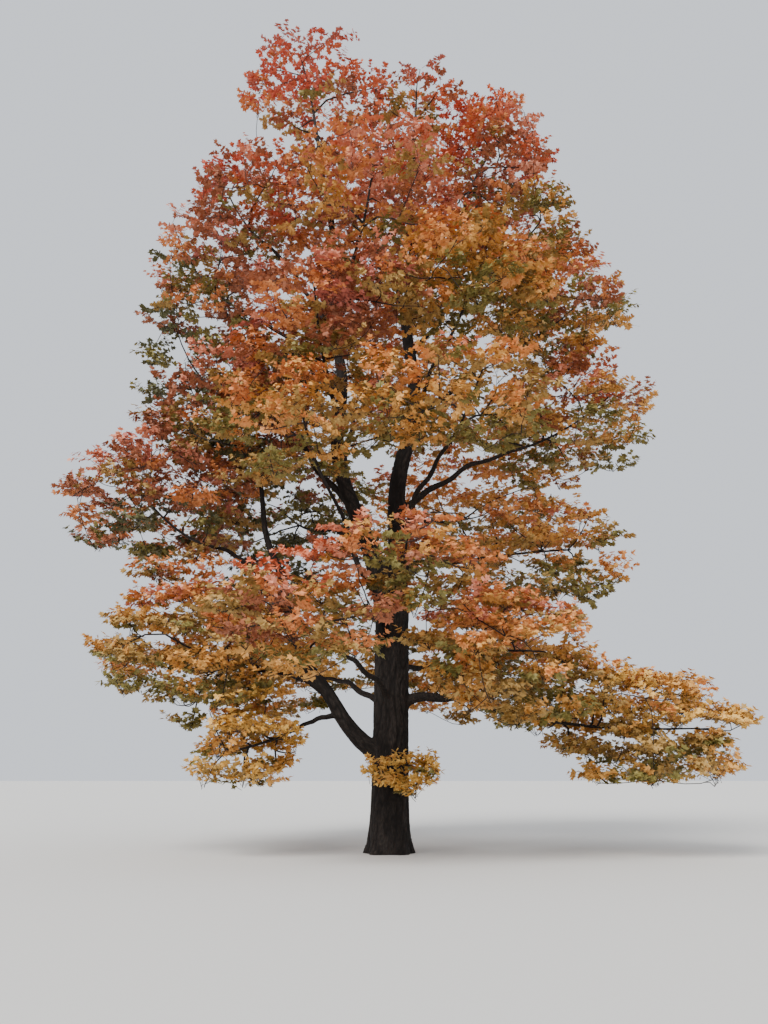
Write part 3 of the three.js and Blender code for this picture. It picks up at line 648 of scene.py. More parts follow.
def turns_of(headings, facing):
    """Quaternions that lay each midrib along its heading, with the upper side facing as near as it can."""
    y = unit(headings)
    z = unit(facing - y * np.sum(facing * y, axis=1, keepdims=True))
    x = np.cross(y, z)
    w = np.sqrt(np.maximum(0, 1 + x[:, 0] + y[:, 1] + z[:, 2])) / 2
    i = np.sqrt(np.maximum(0, 1 + x[:, 0] - y[:, 1] - z[:, 2])) / 2
    j = np.sqrt(np.maximum(0, 1 - x[:, 0] + y[:, 1] - z[:, 2])) / 2
    k = np.sqrt(np.maximum(0, 1 - x[:, 0] - y[:, 1] + z[:, 2])) / 2
    i = np.copysign(i, y[:, 2] - z[:, 1])
    j = np.copysign(j, z[:, 0] - x[:, 2])
    k = np.copysign(k, x[:, 1] - y[:, 0])
    return unit(np.stack([w, i, j, k], axis=1))


def clear_of_limbs(points):
    """True where a point is outside the trunk and every bough."""
    clear = np.ones(len(points), bool)
    for limb in grow_limbs().values():
        shares = np.linspace(0, 1, max(8, int(limb.line.length / BOUGH_STEP)))
        centres = limb.line.at(shares)
        radii = np.array([limb.diameter(share) for share in shares]) / 2
        gap = np.linalg.norm(points[:, None] - centres[None], axis=2) - radii
        clear &= gap.min(axis=1) > BOUGH_GAP
    return clear


@lru_cache(maxsize=None)
def grow_mass(number):
    """The stem, branches, shoots and leaves of one mass of foliage."""
    sizes = bpy.context.scene.maple_foliage
    row = ROWS[number]
    rng = np.random.default_rng(SEED + number)
    limbs = grow_limbs()
    space = SPACES[row.place]
    if row.limb:
        limb = limbs[row.limb]
        seat, leaving, thick = limb.line.at(1), limb.line.along(1), limb.diameter(1)
    else:
        seat, leaving, thick = limbs[row.parent].line.at(row.at), direction(row.heading, row.leave), row.girth
    far = seat + (space.middle - seat) * (1 + STEM_REACH)
    bend = seat + leaving * STEM_BEND * np.linalg.norm(far - seat)
    stem = Line(bezier([seat - leaving * STEM_ROOT, bend, far], STEM_STEPS))
    stem_radii = np.linspace(thick / 2, min(STEM_END, thick) / 2, len(stem.points))
    pads = place_pads(row, rng, sizes)
    wood, feet = grow_branches(stem, stem_radii, pads, rng, sizes.pad_flatness)
    shoots = [shoots_of_pad(row, foot, middle, width, rng, sizes) for foot, middle, width in feet]
    roots, tips, sides, tints = (np.concatenate(column) for column in zip(*shoots))
    kept = in_reach(tips, row.place, 1, SHOOT_SLACK, 0)
    shoot_wood, places, headings, leaf_tints, owner = leafy_shoots(
        roots[kept], tips[kept], sides[kept], tints[kept], rng)
    amount = len(places)
    headings = unit(headings + rng.normal(0, LEAF_TURN, (amount, 3)) - UP * LEAF_FALL)
    facing = unit(sides[kept][owner] + UP * LEAF_FACE_UP + rng.normal(0, LEAF_TILT, (amount, 3)))
    places = places + rng.normal(0, LEAF_SHIFT, (amount, 3))
    scale = np.clip(rng.normal(1, LEAF_SPREAD, amount), *LEAF_SHARES)
    ends = places + headings * (scale * sizes.leaf_length)[:, None]
    kept = in_reach(ends, row.place, LEAF_LIMIT, LEAF_SLACK) & clear_of_limbs(places) & clear_of_limbs(ends)
    return Growth(wood + shoot_wood, places[kept], turns_of(headings, facing)[kept], scale[kept],
                  leaf_tints[kept])


# Meshes, nodes and materials

def linear(colour):
    """A hex colour as Blender's linear red, green and blue."""
    channels = [int(colour[k:k + 2], 16) / 255 for k in (1, 3, 5)]
    return [c / 12.92 if c <= 0.04045 else ((c + 0.055) / 1.055) ** 2.4 for c in channels]


def add_node(tree, kind, settings=None, inputs=None, stops=()):
    """A node with its settings, with its inputs set or linked, and with the stops of its colour ramp."""
    node = tree.nodes.new(kind)
    for name, value in (settings or {}).items():
        setattr(node, name, value)
    for name, value in (inputs or {}).items():
        socket = node.inputs[name]
        if isinstance(value, bpy.types.NodeSocket):
            tree.links.new(value, socket)
        else:
            socket.default_value = value
    for _ in range(len(stops) - 2):
        node.color_ramp.elements.new(0.5)
    for number, (place, colour) in enumerate(stops):
        node.color_ramp.elements[number].position = place
        node.color_ramp.elements[number].color = (*linear(colour), 1)
    return node


def new_material(name):
    """A material with an empty tree."""
    material = bpy.data.materials.new(name)
    material.use_nodes = True
    material.node_tree.nodes.clear()
    return material, material.node_tree


def furrowed_bark():
    """Old maple bark, dry and matt. Its very dark grey-brown plates are partly the bark's own colour and
    partly painted shade, and it runs to near black deep in the furrows as painted shade.

    The furrows are in the mesh. Its attributes say how deep each point lies and where it is along its limb.
    """
    material, tree = new_material("furrowed_maple_bark")
    furrow = add_node(tree, "ShaderNodeAttribute", {"attribute_name": "furrow"}).outputs["Fac"]
    grain = add_node(tree, "ShaderNodeAttribute", {"attribute_name": "grain"}).outputs["Vector"]
    # Flakes about 20 mm wide, drawn out along the limb
    flakes = add_node(tree, "ShaderNodeTexNoise", None,
                      {"Vector": grain, "Scale": 50.0, "Detail": 6.0, "Roughness": 0.62}).outputs["Fac"]
    # Weathered and damp patches about 0.4 m across
    patches = add_node(tree, "ShaderNodeTexNoise", None,
                       {"Vector": grain, "Scale": 2.4, "Detail": 3.0}).outputs["Fac"]
    # The plates are kept very dark, partly as painted shade of the crown's interior.
    plates = add_node(tree, "ShaderNodeValToRGB", None, {"Fac": flakes},
                      ((0.32, "#1c1715"), (0.52, "#2e2824"), (0.72, "#443b35"))).outputs["Color"]
    damp = add_node(tree, "ShaderNodeValToRGB", None, {"Fac": patches},
                    ((0.38, "#8c8480"), (0.62, "#ffffff"))).outputs["Color"]
    tinted = add_node(tree, "ShaderNodeMix", {"data_type": "RGBA", "blend_type": "MULTIPLY"},
                      {"Factor": 0.8, "A": plates, "B": damp}).outputs["Result"]
    # Deep in the furrows the colour runs to near black: painted shade in the recesses.
    colour = add_node(tree, "ShaderNodeMix", {"data_type": "RGBA"},
                      {"Factor": furrow, "A": tinted, "B": (*linear("#120e0c"), 1)}).outputs["Result"]
    bump = add_node(tree, "ShaderNodeBump", None,
                    {"Height": flakes, "Strength": 0.8, "Distance": 0.012}).outputs["Normal"]
    surface = add_node(tree, "ShaderNodeBsdfPrincipled", None, {
        "Base Color": colour, "Roughness": 0.92, "Normal": bump, "Specular IOR Level": 0.25})
    add_node(tree, "ShaderNodeOutputMaterial", None, {"Surface": surface.outputs["BSDF"]})
    return material


def bough_bark():
    """Younger maple bark: dark grey-brown. It is darkest in its fine shallow cracks, as painted shade, and
    paler on the ridges between them.
    """
    material, tree = new_material("young_maple_bark")
    place = add_node(tree, "ShaderNodeTexCoord").outputs["Object"]
    # Cracks about 30 mm apart
    cracks = add_node(tree, "ShaderNodeTexNoise", None,
                      {"Vector": place, "Scale": 32.0, "Detail": 5.0, "Roughness": 0.6}).outputs["Fac"]
    # Low in the pattern, in the cracks, the colour runs to near black as painted shade. High, on the ridges,
    # it is paler.
    colour = add_node(tree, "ShaderNodeValToRGB", None, {"Fac": cracks},
                      ((0.36, "#13100e"), (0.5, "#231d1a"), (0.68, "#383029"))).outputs["Color"]
    bump = add_node(tree, "ShaderNodeBump", None,
                    {"Height": cracks, "Strength": 0.6, "Distance": 0.008}).outputs["Normal"]
    surface = add_node(tree, "ShaderNodeBsdfPrincipled", None, {
        "Base Color": colour, "Roughness": 0.9, "Normal": bump, "Specular IOR Level": 0.25})
    add_node(tree, "ShaderNodeOutputMaterial", None, {"Surface": surface.outputs["BSDF"]})
    return material


def twig_skin():
    """Maple twig: smooth skin with a faint satin. Its brown is so dark that it is partly painted shade of the
    crown's interior. Plain, because it is only millimetres thick.
    """
    material, tree = new_material("maple_twig_skin")
    surface = add_node(tree, "ShaderNodeBsdfPrincipled", None, {
        # Near-black brown: partly the twig's colour, and partly painted shade among the leaves.
        "Base Color": (*linear("#1d1511"), 1), "Roughness": 0.75})
    add_node(tree, "ShaderNodeOutputMaterial", None, {"Surface": surface.outputs["BSDF"]})
    return material


def leaf_blade(tint, roughness):
    """Autumn maple leaf: a thin dry blade with a soft wax gloss, in one plain tint for the whole shoot."""
    material, tree = new_material(f"maple_leaf_{tint}")
    surface = add_node(tree, "ShaderNodeBsdfPrincipled", None, {
        "Base Color": (*linear(TINTS[tint]), 1), "Roughness": roughness, "Specular IOR Level": 0.35})
    add_node(tree, "ShaderNodeOutputMaterial", None, {"Surface": surface.outputs["BSDF"]})
    return material


@lru_cache(maxsize=None)
def leaf_blades():
    """The blades of all tints, in the order of TINT_NAMES."""
    roughness = bpy.context.scene.maple_foliage.leaf_roughness
    return [leaf_blade(tint, roughness) for tint in TINT_NAMES]


def new_tree(name, sockets):
    """An empty Geometry Nodes tree with geometry in and out and these named inputs."""
    tree = bpy.data.node_groups.new(name, "GeometryNodeTree")
    tree.interface.new_socket("Geometry", in_out="INPUT", socket_type="NodeSocketGeometry")
    for label, kind in sockets:
        tree.interface.new_socket(label, in_out="INPUT", socket_type=f"NodeSocket{kind}")
    tree.interface.new_socket("Geometry", in_out="OUTPUT", socket_type="NodeSocketGeometry")
    return tree, add_node(tree, "NodeGroupInput").outputs


@lru_cache(maxsize=None)
def wood_tree():
    """Sweeps a round section along every line, as thick as its points say, with more sides on stout lines."""
    tree, given = new_tree("Tapering wood", (
        ("Sides", "Int"), ("Thin Sides", "Int"), ("Thickness", "Float"), ("Bark", "Material")))
    radius = add_node(tree, "GeometryNodeInputNamedAttribute", {"data_type": "FLOAT"}, {"Name": "radius"})
    stout = add_node(tree, "GeometryNodeInputNamedAttribute", {"data_type": "BOOLEAN"}, {"Name": "stout"})
    scale = add_node(tree, "ShaderNodeMath", {"operation": "MULTIPLY"},
                     {0: radius.outputs["Attribute"], 1: given["Thickness"]})
    parts = add_node(tree, "GeometryNodeSeparateGeometry", {"domain": "POINT"},
                     {"Geometry": given["Geometry"], "Selection": stout.outputs["Attribute"]})
    swept = []
    for lines, sides, ends in (("Selection", "Sides", True), ("Inverted", "Thin Sides", False)):
        curve = add_node(tree, "GeometryNodeMeshToCurve", None, {"Mesh": parts.outputs[lines]})
        section = add_node(tree, "GeometryNodeCurvePrimitiveCircle", {"mode": "RADIUS"},
                           {"Resolution": given[sides], "Radius": 1.0})
        swept.append(add_node(tree, "GeometryNodeCurveToMesh", None,
                              {"Curve": curve.outputs[0], "Profile Curve": section.outputs[0],
                               "Scale": scale.outputs[0], "Fill Caps": ends}).outputs[0])
    joined = add_node(tree, "GeometryNodeJoinGeometry")
    for part in swept:
        tree.links.new(part, joined.inputs[0])
    real = add_node(tree, "GeometryNodeRealizeInstances", None, {"Geometry": joined.outputs[0]})
    dressed = add_node(tree, "GeometryNodeSetMaterial", None,
                       {"Geometry": real.outputs[0], "Material": given["Bark"]})
    add_node(tree, "NodeGroupOutput", None, {"Geometry": dressed.outputs[0]})
    return tree


@lru_cache(maxsize=None)
def leaf_tree():
    """Sets a leaf on every point, turned, sized and tinted as the point says."""
    tree, given = new_tree("Leaves on shoots", (
        ("Leaf", "Object"), ("Leaf Length", "Float"), ("Width Spread", "Float"), ("Seed", "Int")))
    turn = add_node(tree, "GeometryNodeInputNamedAttribute", {"data_type": "QUATERNION"}, {"Name": "turn"})
    size = add_node(tree, "GeometryNodeInputNamedAttribute", {"data_type": "FLOAT"}, {"Name": "size"})
    tint = add_node(tree, "GeometryNodeInputNamedAttribute", {"data_type": "INT"}, {"Name": "tint"})
    leaf = add_node(tree, "GeometryNodeObjectInfo", None, {"Object": given["Leaf"]})
    length = add_node(tree, "ShaderNodeMath", {"operation": "MULTIPLY"},
                      {0: size.outputs["Attribute"], 1: given["Leaf Length"]})
    narrow = add_node(tree, "ShaderNodeMath", {"operation": "SUBTRACT"}, {0: 1.0, 1: given["Width Spread"]})
    wide = add_node(tree, "ShaderNodeMath", {"operation": "ADD"}, {0: 1.0, 1: given["Width Spread"]})
    spread = add_node(tree, "FunctionNodeRandomValue", {"data_type": "FLOAT"},
                      {2: narrow.outputs[0], 3: wide.outputs[0], "Seed": given["Seed"]})
    width = add_node(tree, "ShaderNodeMath", {"operation": "MULTIPLY"},
                     {0: length.outputs[0], 1: spread.outputs[1]})
    scale = add_node(tree, "ShaderNodeCombineXYZ", None,
                     {"X": width.outputs[0], "Y": length.outputs[0], "Z": length.outputs[0]})
    leaves = add_node(tree, "GeometryNodeInstanceOnPoints", None,
                      {"Points": given["Geometry"], "Instance": leaf.outputs["Geometry"],
                       "Rotation": turn.outputs["Attribute"], "Scale": scale.outputs[0]})
    dressed = add_node(tree, "GeometryNodeRealizeInstances", None, {"Geometry": leaves.outputs[0]}).outputs[0]
    for number, blade in enumerate(leaf_blades()):
        chosen = add_node(tree, "FunctionNodeCompare", {"data_type": "INT", "operation": "EQUAL"},
                          {2: tint.outputs["Attribute"], 3: number})
        dressed = add_node(tree, "GeometryNodeSetMaterial", None, {
            "Geometry": dressed, "Selection": chosen.outputs[0], "Material": blade}).outputs[0]
    add_node(tree, "NodeGroupOutput", None, {"Geometry": dressed})
    return tree


def show(name, mesh):
    """An object in the scene that shows this mesh."""
    piece = bpy.data.objects.new(name, mesh)
    bpy.context.scene.collection.objects.link(piece)
    return piece


def set_attribute(mesh, name, kind, values):
    """Gives each point of a mesh its value."""
    attribute = mesh.attributes.new(name, kind, "POINT")
    field = "vector" if kind == "FLOAT_VECTOR" else "value"
    attribute.data.foreach_set(field, np.ascontiguousarray(values).ravel())


def grown(name, mesh, tree, inputs):
    """A plain piece made by running a Geometry Nodes tree on a mesh."""
    source = show(name + "_lines", mesh)
    modifier = source.modifiers.new("Growth", "NODES")
    modifier.node_group = tree
    identifiers = {item.name: item.identifier for item in tree.interface.items_tree if item.in_out == "INPUT"}
    for label, value in inputs.items():
        modifier[identifiers[label]] = value
    evaluated = source.evaluated_get(bpy.context.evaluated_depsgraph_get())
    plain = bpy.data.meshes.new_from_object(evaluated)
    bpy.data.objects.remove(source)
    bpy.data.meshes.remove(mesh)
    plain.name = name
    for label in {"turn", "size", "tint", "stout", "radius"} & set(plain.attributes.keys()):
        plain.attributes.remove(plain.attributes[label])
    return show(name, plain)


def wood_piece(name, wood, stout_sides, bark):
    """A piece of wood from lines given as (points, radii, whether it is stout)."""
    sizes = bpy.context.scene.maple_wood
    points = np.concatenate([line[0] for line in wood])
    radii = np.concatenate([line[1] for line in wood])
    stout = np.concatenate([np.full(len(line[0]), line[2]) for line in wood])
    ends = np.cumsum([len(line[0]) for line in wood])
    starts = np.arange(len(points))
    edges = np.stack([starts, starts + 1], axis=1)[~np.isin(starts + 1, ends)]
    mesh = bpy.data.meshes.new(name)
    mesh.vertices.add(len(points))
    mesh.vertices.foreach_set("co", points.astype(np.float32).ravel())
    mesh.edges.add(len(edges))
    mesh.edges.foreach_set("vertices", edges.astype(np.int32).ravel())
    set_attribute(mesh, "radius", "FLOAT", radii.astype(np.float32))
    set_attribute(mesh, "stout", "BOOLEAN", stout)
    return grown(name, mesh, wood_tree(), {
        "Sides": stout_sides, "Thin Sides": sizes.shoot_sides, "Thickness": sizes.thickness, "Bark": bark})


# Stout wood, with the bark's relief in its mesh

def tube(line, radius_at, sides, shares):
    """Corners and faces of a closed round solid along a line."""
    centres, _, normals, across = line.rings(shares)
    angles = np.arange(sides) * 2 * math.pi / sides
    corners, faces = [], []
    for ring, share in enumerate(shares):
        radii = np.broadcast_to(radius_at(share, angles), angles.shape)[:, None]
        corners.append(centres[ring] + radii * (np.cos(angles)[:, None] * normals[ring]
                                                + np.sin(angles)[:, None] * across[ring]))
        if ring:
            here, back = ring * sides, (ring - 1) * sides
            faces += [(back + k, back + (k + 1) % sides, here + (k + 1) % sides, here + k)
                      for k in range(sides)]
    faces.append(tuple(reversed(range(sides))))
    faces.append(tuple((len(shares) - 1) * sides + k for k in range(sides)))
    return np.concatenate(corners), faces


def stout_tubes():
    """The trunk carried on below ground, the stout limbs, and the swollen root of each bough they carry."""
    limbs = grow_limbs()
    full = TRUNK_HEIGHT + BELOW
    line = Line([(-TRUNK_LEAN * BELOW / TRUNK_HEIGHT, 0, -BELOW), (TRUNK_LEAN, 0, TRUNK_HEIGHT)])
    tubes = [tube(line, lambda share, angle: trunk_radius(share * full - BELOW, angle), TRUNK_SIDES,
                  np.concatenate([np.linspace(*part) for part in TRUNK_SHARES]))]
    for name in STOUT[1:]:
        limb = limbs[name]
        steps = max(12, int(limb.line.length / LIMB_STEP))
        tubes.append(tube(limb.line, lambda share, angle, limb=limb: limb.diameter(share) / 2, LIMB_SIDES,
                          np.linspace(0, 1, steps)))
    for row in CROWN:
        if row.limb in STOUT or row.parent not in STOUT:
            continue
        limb, parent = limbs[row.limb], limbs[row.parent]
        reach = (parent.diameter(row.at) / 2 + ROOT_REACH * row.girth) / limb.line.length
        tubes.append(tube(limb.line, lambda share, angle, limb=limb, reach=reach:
                          limb.diameter(share) / 2 * (ROOT_SWELL[0] - ROOT_SWELL[1] * share / reach),
                          ROOT_SIDES, np.linspace(0, min(reach, 1), ROOT_RINGS)))
    return tubes


def fused(tubes, voxel):
    """The tubes as one skin, softened where they meet and cut flat at the ground."""
    mesh = bpy.data.meshes.new("stout_wood")
    corners = np.concatenate([part[0] for part in tubes])
    faces, offset = [], 0
    for part, its_faces in tubes:
        faces += [tuple(index + offset for index in face) for face in its_faces]
        offset += len(part)
    mesh.from_pydata(corners.tolist(), [], faces)
    source = show("stout_tubes", mesh)
    modifier = source.modifiers.new("Fuse", "REMESH")
    modifier.mode = "VOXEL"
    modifier.voxel_size = voxel
    evaluated = source.evaluated_get(bpy.context.evaluated_depsgraph_get())
    skin = bmesh.new()
    skin.from_mesh(evaluated.to_mesh())
    bpy.data.objects.remove(source)
    for _ in range(SOFTENING):
        bmesh.ops.smooth_vert(skin, verts=skin.verts, factor=0.5,
                              use_axis_x=True, use_axis_y=True, use_axis_z=True)
    everything = skin.verts[:] + skin.edges[:] + skin.faces[:]
    cut = bmesh.ops.bisect_plane(skin, geom=everything, dist=1e-4, plane_co=(0, 0, 0), plane_no=(0, 0, -1),
                                 clear_outer=True)
    rim = [part for part in cut["geom_cut"] if isinstance(part, bmesh.types.BMEdge)]
    bmesh.ops.holes_fill(skin, edges=rim)
    bmesh.ops.recalc_face_normals(skin, faces=skin.faces)
    skin.to_mesh(mesh)
    skin.free()
    return mesh


def limb_coordinates(points):
    """Each point's place across and along the limb it is on, and the limb's radius there.

    The third result is 1 well inside one limb and fades to 0 where two limbs join.
    """
    nearest, places = [], []
    for number, name in enumerate(STOUT):
        limb = grow_limbs()[name]
        shares = np.linspace(0, 1, max(20, int(limb.line.length / READ_STEP)))
        centres, tangents, normals, across = limb.line.rings(shares)
        radii = np.array([limb.diameter(share) / 2 for share in shares])
        best = np.empty(len(points))
        pick = np.empty(len(points), int)
        for start in range(0, len(points), BATCH):
            part = slice(start, start + BATCH)
            apart = np.linalg.norm(points[part][:, None] - centres[None], axis=2) / radii
            pick[part] = apart.argmin(axis=1)
            best[part] = apart.min(axis=1)
        offset = points - centres[pick]
        lengthwise = shares[pick] * limb.line.length + np.sum(offset * tangents[pick], axis=1)
        places.append(np.stack([np.sum(offset * normals[pick], axis=1) + PATTERN_STEP * number,
                                np.sum(offset * across[pick], axis=1), lengthwise, radii[pick]], axis=1))
        nearest.append(best)
    nearest = np.array(nearest)
    ranked = np.sort(nearest, axis=0)
    sure = smooth_step(*JOINT_FADE, ranked[1] / ranked[0])
    place = np.array(places)[nearest.argmin(axis=0), np.arange(len(points))]
    return place[:, :3], place[:, 3], sure


def furrows(places, width):
    """How deep each point lies in the bark's furrows, from 0 on a plate to 1 at the bottom."""
    noise.seed_set(SEED)
    often, far = WANDER
    deep = np.empty(len(places))
    for index, (x, y, z) in enumerate(places):
        across = Vector((x / width, y / width, z / (width * PLATE_LENGTH)))
        across += noise.noise_vector(across * often) * far
        wide = abs(noise.noise(across))
        fine = abs(noise.noise(across * FINE_FURROWS + FINE_SHIFT))
        deep[index] = max(1 - min(wide / WIDE_EDGE, 1), FINE_DEPTH * (1 - min(fine / FINE_EDGE, 1)))
    return deep


# Settings

class MapleWood(bpy.types.PropertyGroup):
    voxel: FloatProperty(
        name="Skin Detail", description="Size of the cells that the stout wood's skin is made of",
        default=0.03, min=0.01, unit="LENGTH")
    furrow_width: FloatProperty(
        name="Furrow Spacing", description="Distance from one furrow of the trunk's bark to the next",
        default=0.12, min=0.02, unit="LENGTH")
    furrow_depth: FloatProperty(
        name="Furrow Depth", description="Depth of the furrows where the trunk is stoutest",
        default=0.034, min=0.0, unit="LENGTH")
    thickness: FloatProperty(
        name="Thickness", description="Thickness of boughs and twigs, as a share of what they grow to",
        default=1.0, min=0.1)
    bough_sides: IntProperty(
        name="Bough Sides", description="Sides of the section of a bough", default=12, min=3)
    stem_sides: IntProperty(
        name="Branch Sides", description="Sides of the section of a branch in the foliage", default=5, min=3)
    shoot_sides: IntProperty(
        name="Shoot Sides", description="Sides of the section of a leafy shoot", default=3, min=3)


class MapleFoliage(bpy.types.PropertyGroup):
    leaf_length: FloatProperty(
        name="Leaf Length", description="Length of a leaf, at the large end of life size",
        default=0.122, min=0.05, unit="LENGTH")
    width_spread: FloatProperty(
        name="Width Spread", description="How far a leaf may be wider or narrower than the pattern",
        default=0.16, min=0.0, max=0.5, subtype="FACTOR")
    leaf_roughness: FloatProperty(
        name="Leaf Roughness", description="Roughness of the dry blade", default=0.55, min=0.0, max=1.0,
        subtype="FACTOR")
    pad_width: FloatProperty(
        name="Pad Width", description="Half width of a pad of foliage", default=0.78, min=0.1, unit="LENGTH")
    pad_spacing: FloatProperty(
        name="Pad Spacing", description="Least distance across from one pad to the next",
        default=1.1, min=0.1, unit="LENGTH")
    pad_flatness: FloatProperty(
        name="Pad Flatness", description="Height of a pad's dome over its half width",
        default=0.5, min=0.1, max=1.5, subtype="FACTOR")
    shoots_per_pad: IntProperty(
        name="Shoots per Pad", description="Leafy shoots on each pad", default=10, min=1)


class MapleStudio(bpy.types.PropertyGroup):
    eye_place: FloatVectorProperty(
        name="Eye Place", description="Where the camera stands", default=(-0.12, -20.3, 1.6),
        subtype="TRANSLATION")
    eye_rise: FloatProperty(
        name="Eye Rise", description="How far the camera looks up", default=math.radians(17.9),
        unit="ROTATION")
    lens: FloatProperty(name="Lens", description="Focal length on a 36 mm sensor", default=29.1, min=1.0)
    floor_colour: FloatVectorProperty(
        name="Floor Colour", description="Colour of the pale floor", default=linear("#d6d3cd"),
        subtype="COLOR", min=0.0, max=1.0)
    sky_colour: FloatVectorProperty(
        name="Surround Colour", description="Colour of the soft light all round",
        default=linear("#dfe4ec"), subtype="COLOR", min=0.0, max=1.0)
    sky_strength: FloatProperty(
        name="Surround Strength", description="Strength of the soft light all round", default=1.25, min=0.0)
    key_strength: FloatProperty(
        name="Key Strength", description="Strength of the broad key light", default=3.8, min=0.0)
    fill_strength: FloatProperty(
        name="Fill Strength", description="Strength of the low light from the front", default=0.8, min=0.0)


# Pieces

class MAPLE_OT_stout_wood(bpy.types.Operator):
    """Make the trunk, the two leaders, the left bough and the second stem as one skin with furrowed bark"""

    bl_idname = "maple.stout_wood"
    bl_label = "Trunk and Leaders"

    def execute(self, context):
        sizes = context.scene.maple_wood
        mesh = fused(stout_tubes(), sizes.voxel)
        points = np.empty((len(mesh.vertices), 3))
        normals = np.empty_like(points)
        mesh.vertices.foreach_get("co", points.ravel())
        mesh.vertex_normals.foreach_get("vector", normals.ravel())
        places, radii, sure = limb_coordinates(points)
        furrow = furrows(places, sizes.furrow_width) * sure
        thinnest, thicker = FURROW_RADII
        depth = sizes.furrow_depth * np.clip((radii - thinnest) / thicker, LEAST_FURROW, 1)
        normals[points[:, 2] < RIM, 2] = 0
        points = points + normals * (depth * (PLATE_RISE - furrow))[:, None]
        points[:, 2] = np.maximum(points[:, 2], 0)
        mesh.vertices.foreach_set("co", points.ravel())
        # The furrow depth also darkens the bark's colour, as painted shade in the furrows.
        set_attribute(mesh, "furrow", "FLOAT", furrow.astype(np.float32))
        set_attribute(mesh, "grain", "FLOAT_VECTOR", (places * GRAIN_STRETCH).astype(np.float32))
        mesh.shade_smooth()
        mesh.materials.append(furrowed_bark())
        wood = show("trunk_and_leaders", mesh)
        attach(wood, HOLD)
        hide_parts(*STOUT)
        return {"FINISHED"}


class MAPLE_OT_boughs(bpy.types.Operator):
    """Make the boughs that carry the masses of foliage, each from its root inside its parent to its tip"""

    bl_idname = "maple.boughs"
    bl_label = "Boughs"

    def execute(self, context):
        rng = np.random.default_rng(SEED)
        wood, names = [], []
        for row in CROWN:
            if row.limb in STOUT:
                continue
            limb = grow_limbs()[row.limb]
            shares = np.linspace(0, 1, max(10, int(limb.line.length / BOUGH_RING)))
            radii = np.array([limb.diameter(share) / 2 for share in shares])
            knots = rng.normal(0, KNOTS, len(shares))
            wood.append((limb.line.at(shares), radii * (1 + knots), True))
            names.append(row.limb)
        boughs = wood_piece("boughs", wood, context.scene.maple_wood.bough_sides, bough_bark())
        boughs.data.shade_smooth()
        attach(boughs, HOLD)
        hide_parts(*names)
        return {"FINISHED"}


class MAPLE_OT_twigs(bpy.types.Operator):
    """Make the stems, branches and shoots of every mass, one piece for each mass"""

    bl_idname = "maple.twigs"
    bl_label = "Twigs"

    def execute(self, context):
        sides = context.scene.maple_wood.stem_sides
        skin = twig_skin()
        for number, row in enumerate(ROWS):
            twigs = wood_piece(f"twigs_{row.place}", grow_mass(number).wood, sides, skin)
            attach(twigs, HOLD)
            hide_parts(f"leaves_{row.place}")
        return {"FINISHED"}


class MAPLE_OT_leaves(bpy.types.Operator):
    """Set the leaves on the shoots of every mass, one piece for each mass"""

    bl_idname = "maple.leaves"
    bl_label = "Leaves"

    def execute(self, context):
        sizes = context.scene.maple_foliage
        pattern = show("leaf_pattern", self.leaf_mesh())
        for number, row in enumerate(ROWS):
            growth = grow_mass(number)
            points = bpy.data.meshes.new(row.place)
            points.vertices.add(len(growth.leaf_places))
            points.vertices.foreach_set("co", growth.leaf_places.astype(np.float32).ravel())
            set_attribute(points, "turn", "QUATERNION", growth.leaf_turns.astype(np.float32))
            set_attribute(points, "size", "FLOAT", growth.leaf_sizes.astype(np.float32))
            set_attribute(points, "tint", "INT", growth.leaf_tints.astype(np.int32))
            foliage = grown(f"foliage_{row.place}", points, leaf_tree(), {
                "Leaf": pattern, "Leaf Length": sizes.leaf_length, "Width Spread": sizes.width_spread,
                "Seed": SEED + number})
            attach(foliage, HOLD)
            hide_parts(f"leaves_{row.place}")
        bpy.data.objects.remove(pattern)
        return {"FINISHED"}

    @staticmethod
    def leaf_mesh():
        """Five pointed lobes in six faces, folded up a little along the midrib and drooping at the tips."""
        outline = [(0, 0), *LEAF_HALF, (0, 1), *[(-x, y) for x, y in reversed(LEAF_HALF)]]
        corners = [(x, y, LEAF_FOLD * abs(x) - TIP_FALL * y * y - LOBE_FALL * x * x) for x, y in outline]
        mesh = bpy.data.meshes.new("maple_leaf")
        mesh.from_pydata(corners, [], [(0, k, k + 1) for k in range(1, len(outline) - 1)])
        return mesh


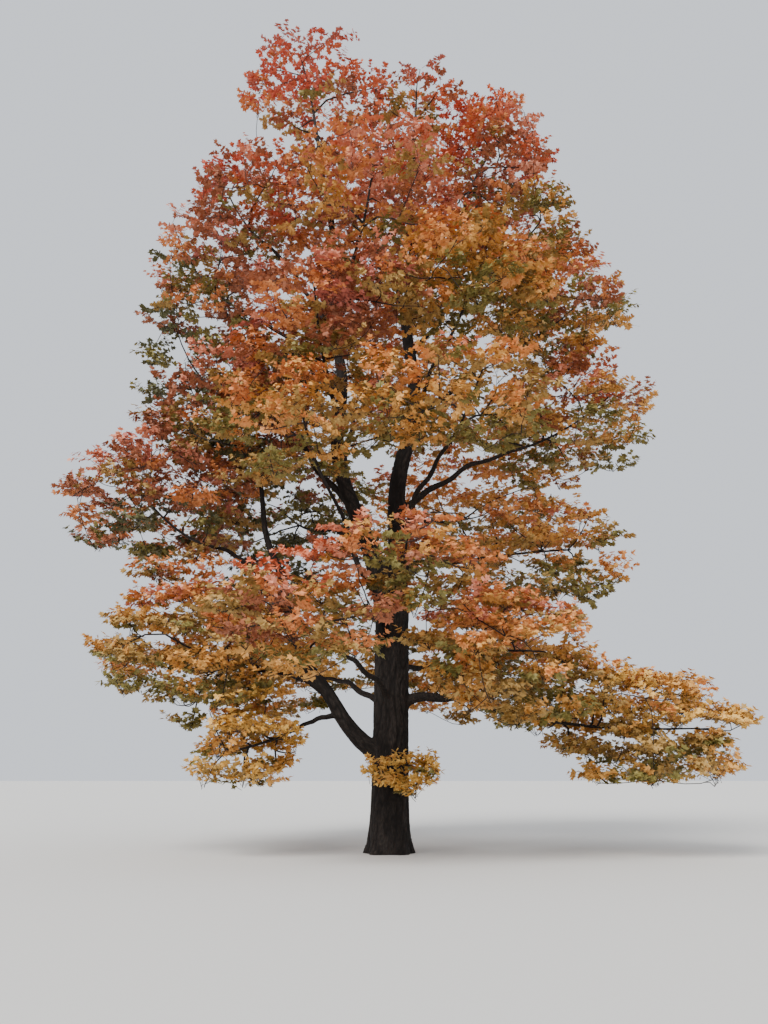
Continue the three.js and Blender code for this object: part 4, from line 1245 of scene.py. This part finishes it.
class MAPLE_OT_studio(bpy.types.Operator):
    """Set the camera, the pale floor and the soft light"""

    bl_idname = "maple.studio"
    bl_label = "Studio"

    def execute(self, context):
        scene = context.scene
        studio = scene.maple_studio
        camera = bpy.data.objects.new("eye", bpy.data.cameras.new("eye"))
        scene.collection.objects.link(camera)
        camera.location = studio.eye_place
        camera.rotation_euler = (math.pi / 2 + studio.eye_rise, 0, 0)
        camera.data.sensor_width = SENSOR
        camera.data.lens = studio.lens
        camera.data.clip_end = FARTHEST
        scene.camera = camera

        mesh = bpy.data.meshes.new("floor")
        signs = ((-1, -1), (1, -1), (1, 1), (-1, 1))
        mesh.from_pydata([(x * FLOOR_HALF, y * FLOOR_HALF, 0) for x, y in signs], [], [(0, 1, 2, 3)])
        material, tree = new_material("pale_floor")
        surface = add_node(tree, "ShaderNodeBsdfPrincipled", None, {
            "Base Color": (*studio.floor_colour, 1), "Roughness": 0.9})
        add_node(tree, "ShaderNodeOutputMaterial", None, {"Surface": surface.outputs["BSDF"]})
        mesh.materials.append(material)
        show("floor", mesh)

        world = bpy.data.worlds.new("soft_surround")
        world.use_nodes = True
        shade = world.node_tree.nodes["Background"]
        shade.inputs["Color"].default_value = (*studio.sky_colour, 1)
        shade.inputs["Strength"].default_value = studio.sky_strength
        scene.world = world

        for name, spread, turn in LIGHTS:
            light = bpy.data.objects.new(name, bpy.data.lights.new(name, "SUN"))
            light.data.energy = getattr(studio, f"{name}_strength")
            light.data.angle = math.radians(spread)
            light.rotation_euler = [math.radians(angle) for angle in turn]
            scene.collection.objects.link(light)
        return {"FINISHED"}


PIECES = (MAPLE_OT_stout_wood, MAPLE_OT_boughs, MAPLE_OT_twigs, MAPLE_OT_leaves, MAPLE_OT_studio)
SETTINGS = {"maple_wood": MapleWood, "maple_foliage": MapleFoliage, "maple_studio": MapleStudio}


class MAPLE_PT_panel(bpy.types.Panel):
    """The tree's settings and the steps that make it"""

    bl_idname = "MAPLE_PT_panel"
    bl_label = "Autumn Maple"
    bl_space_type = "VIEW_3D"
    bl_region_type = "UI"
    bl_category = "Maple"

    def draw(self, context):
        for attribute, group in SETTINGS.items():
            box = self.layout.box()
            for name in group.__annotations__:
                box.prop(getattr(context.scene, attribute), name)
        for operator in PIECES:
            self.layout.operator(operator.bl_idname)


CLASSES = (*SETTINGS.values(), *PIECES, MAPLE_PT_panel)


def register():
    for cls in CLASSES:
        bpy.utils.register_class(cls)
    for attribute, group in SETTINGS.items():
        setattr(bpy.types.Scene, attribute, PointerProperty(type=group))


def unregister():
    for attribute in SETTINGS:
        delattr(bpy.types.Scene, attribute)
    for cls in reversed(CLASSES):
        bpy.utils.unregister_class(cls)


def main():
    """Makes the studio and every piece."""
    register()
    bpy.ops.maple.studio()
    bpy.ops.maple.stout_wood()
    bpy.ops.maple.boughs()
    bpy.ops.maple.twigs()
    bpy.ops.maple.leaves()
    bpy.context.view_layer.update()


if __name__ == "__main__":
    main()
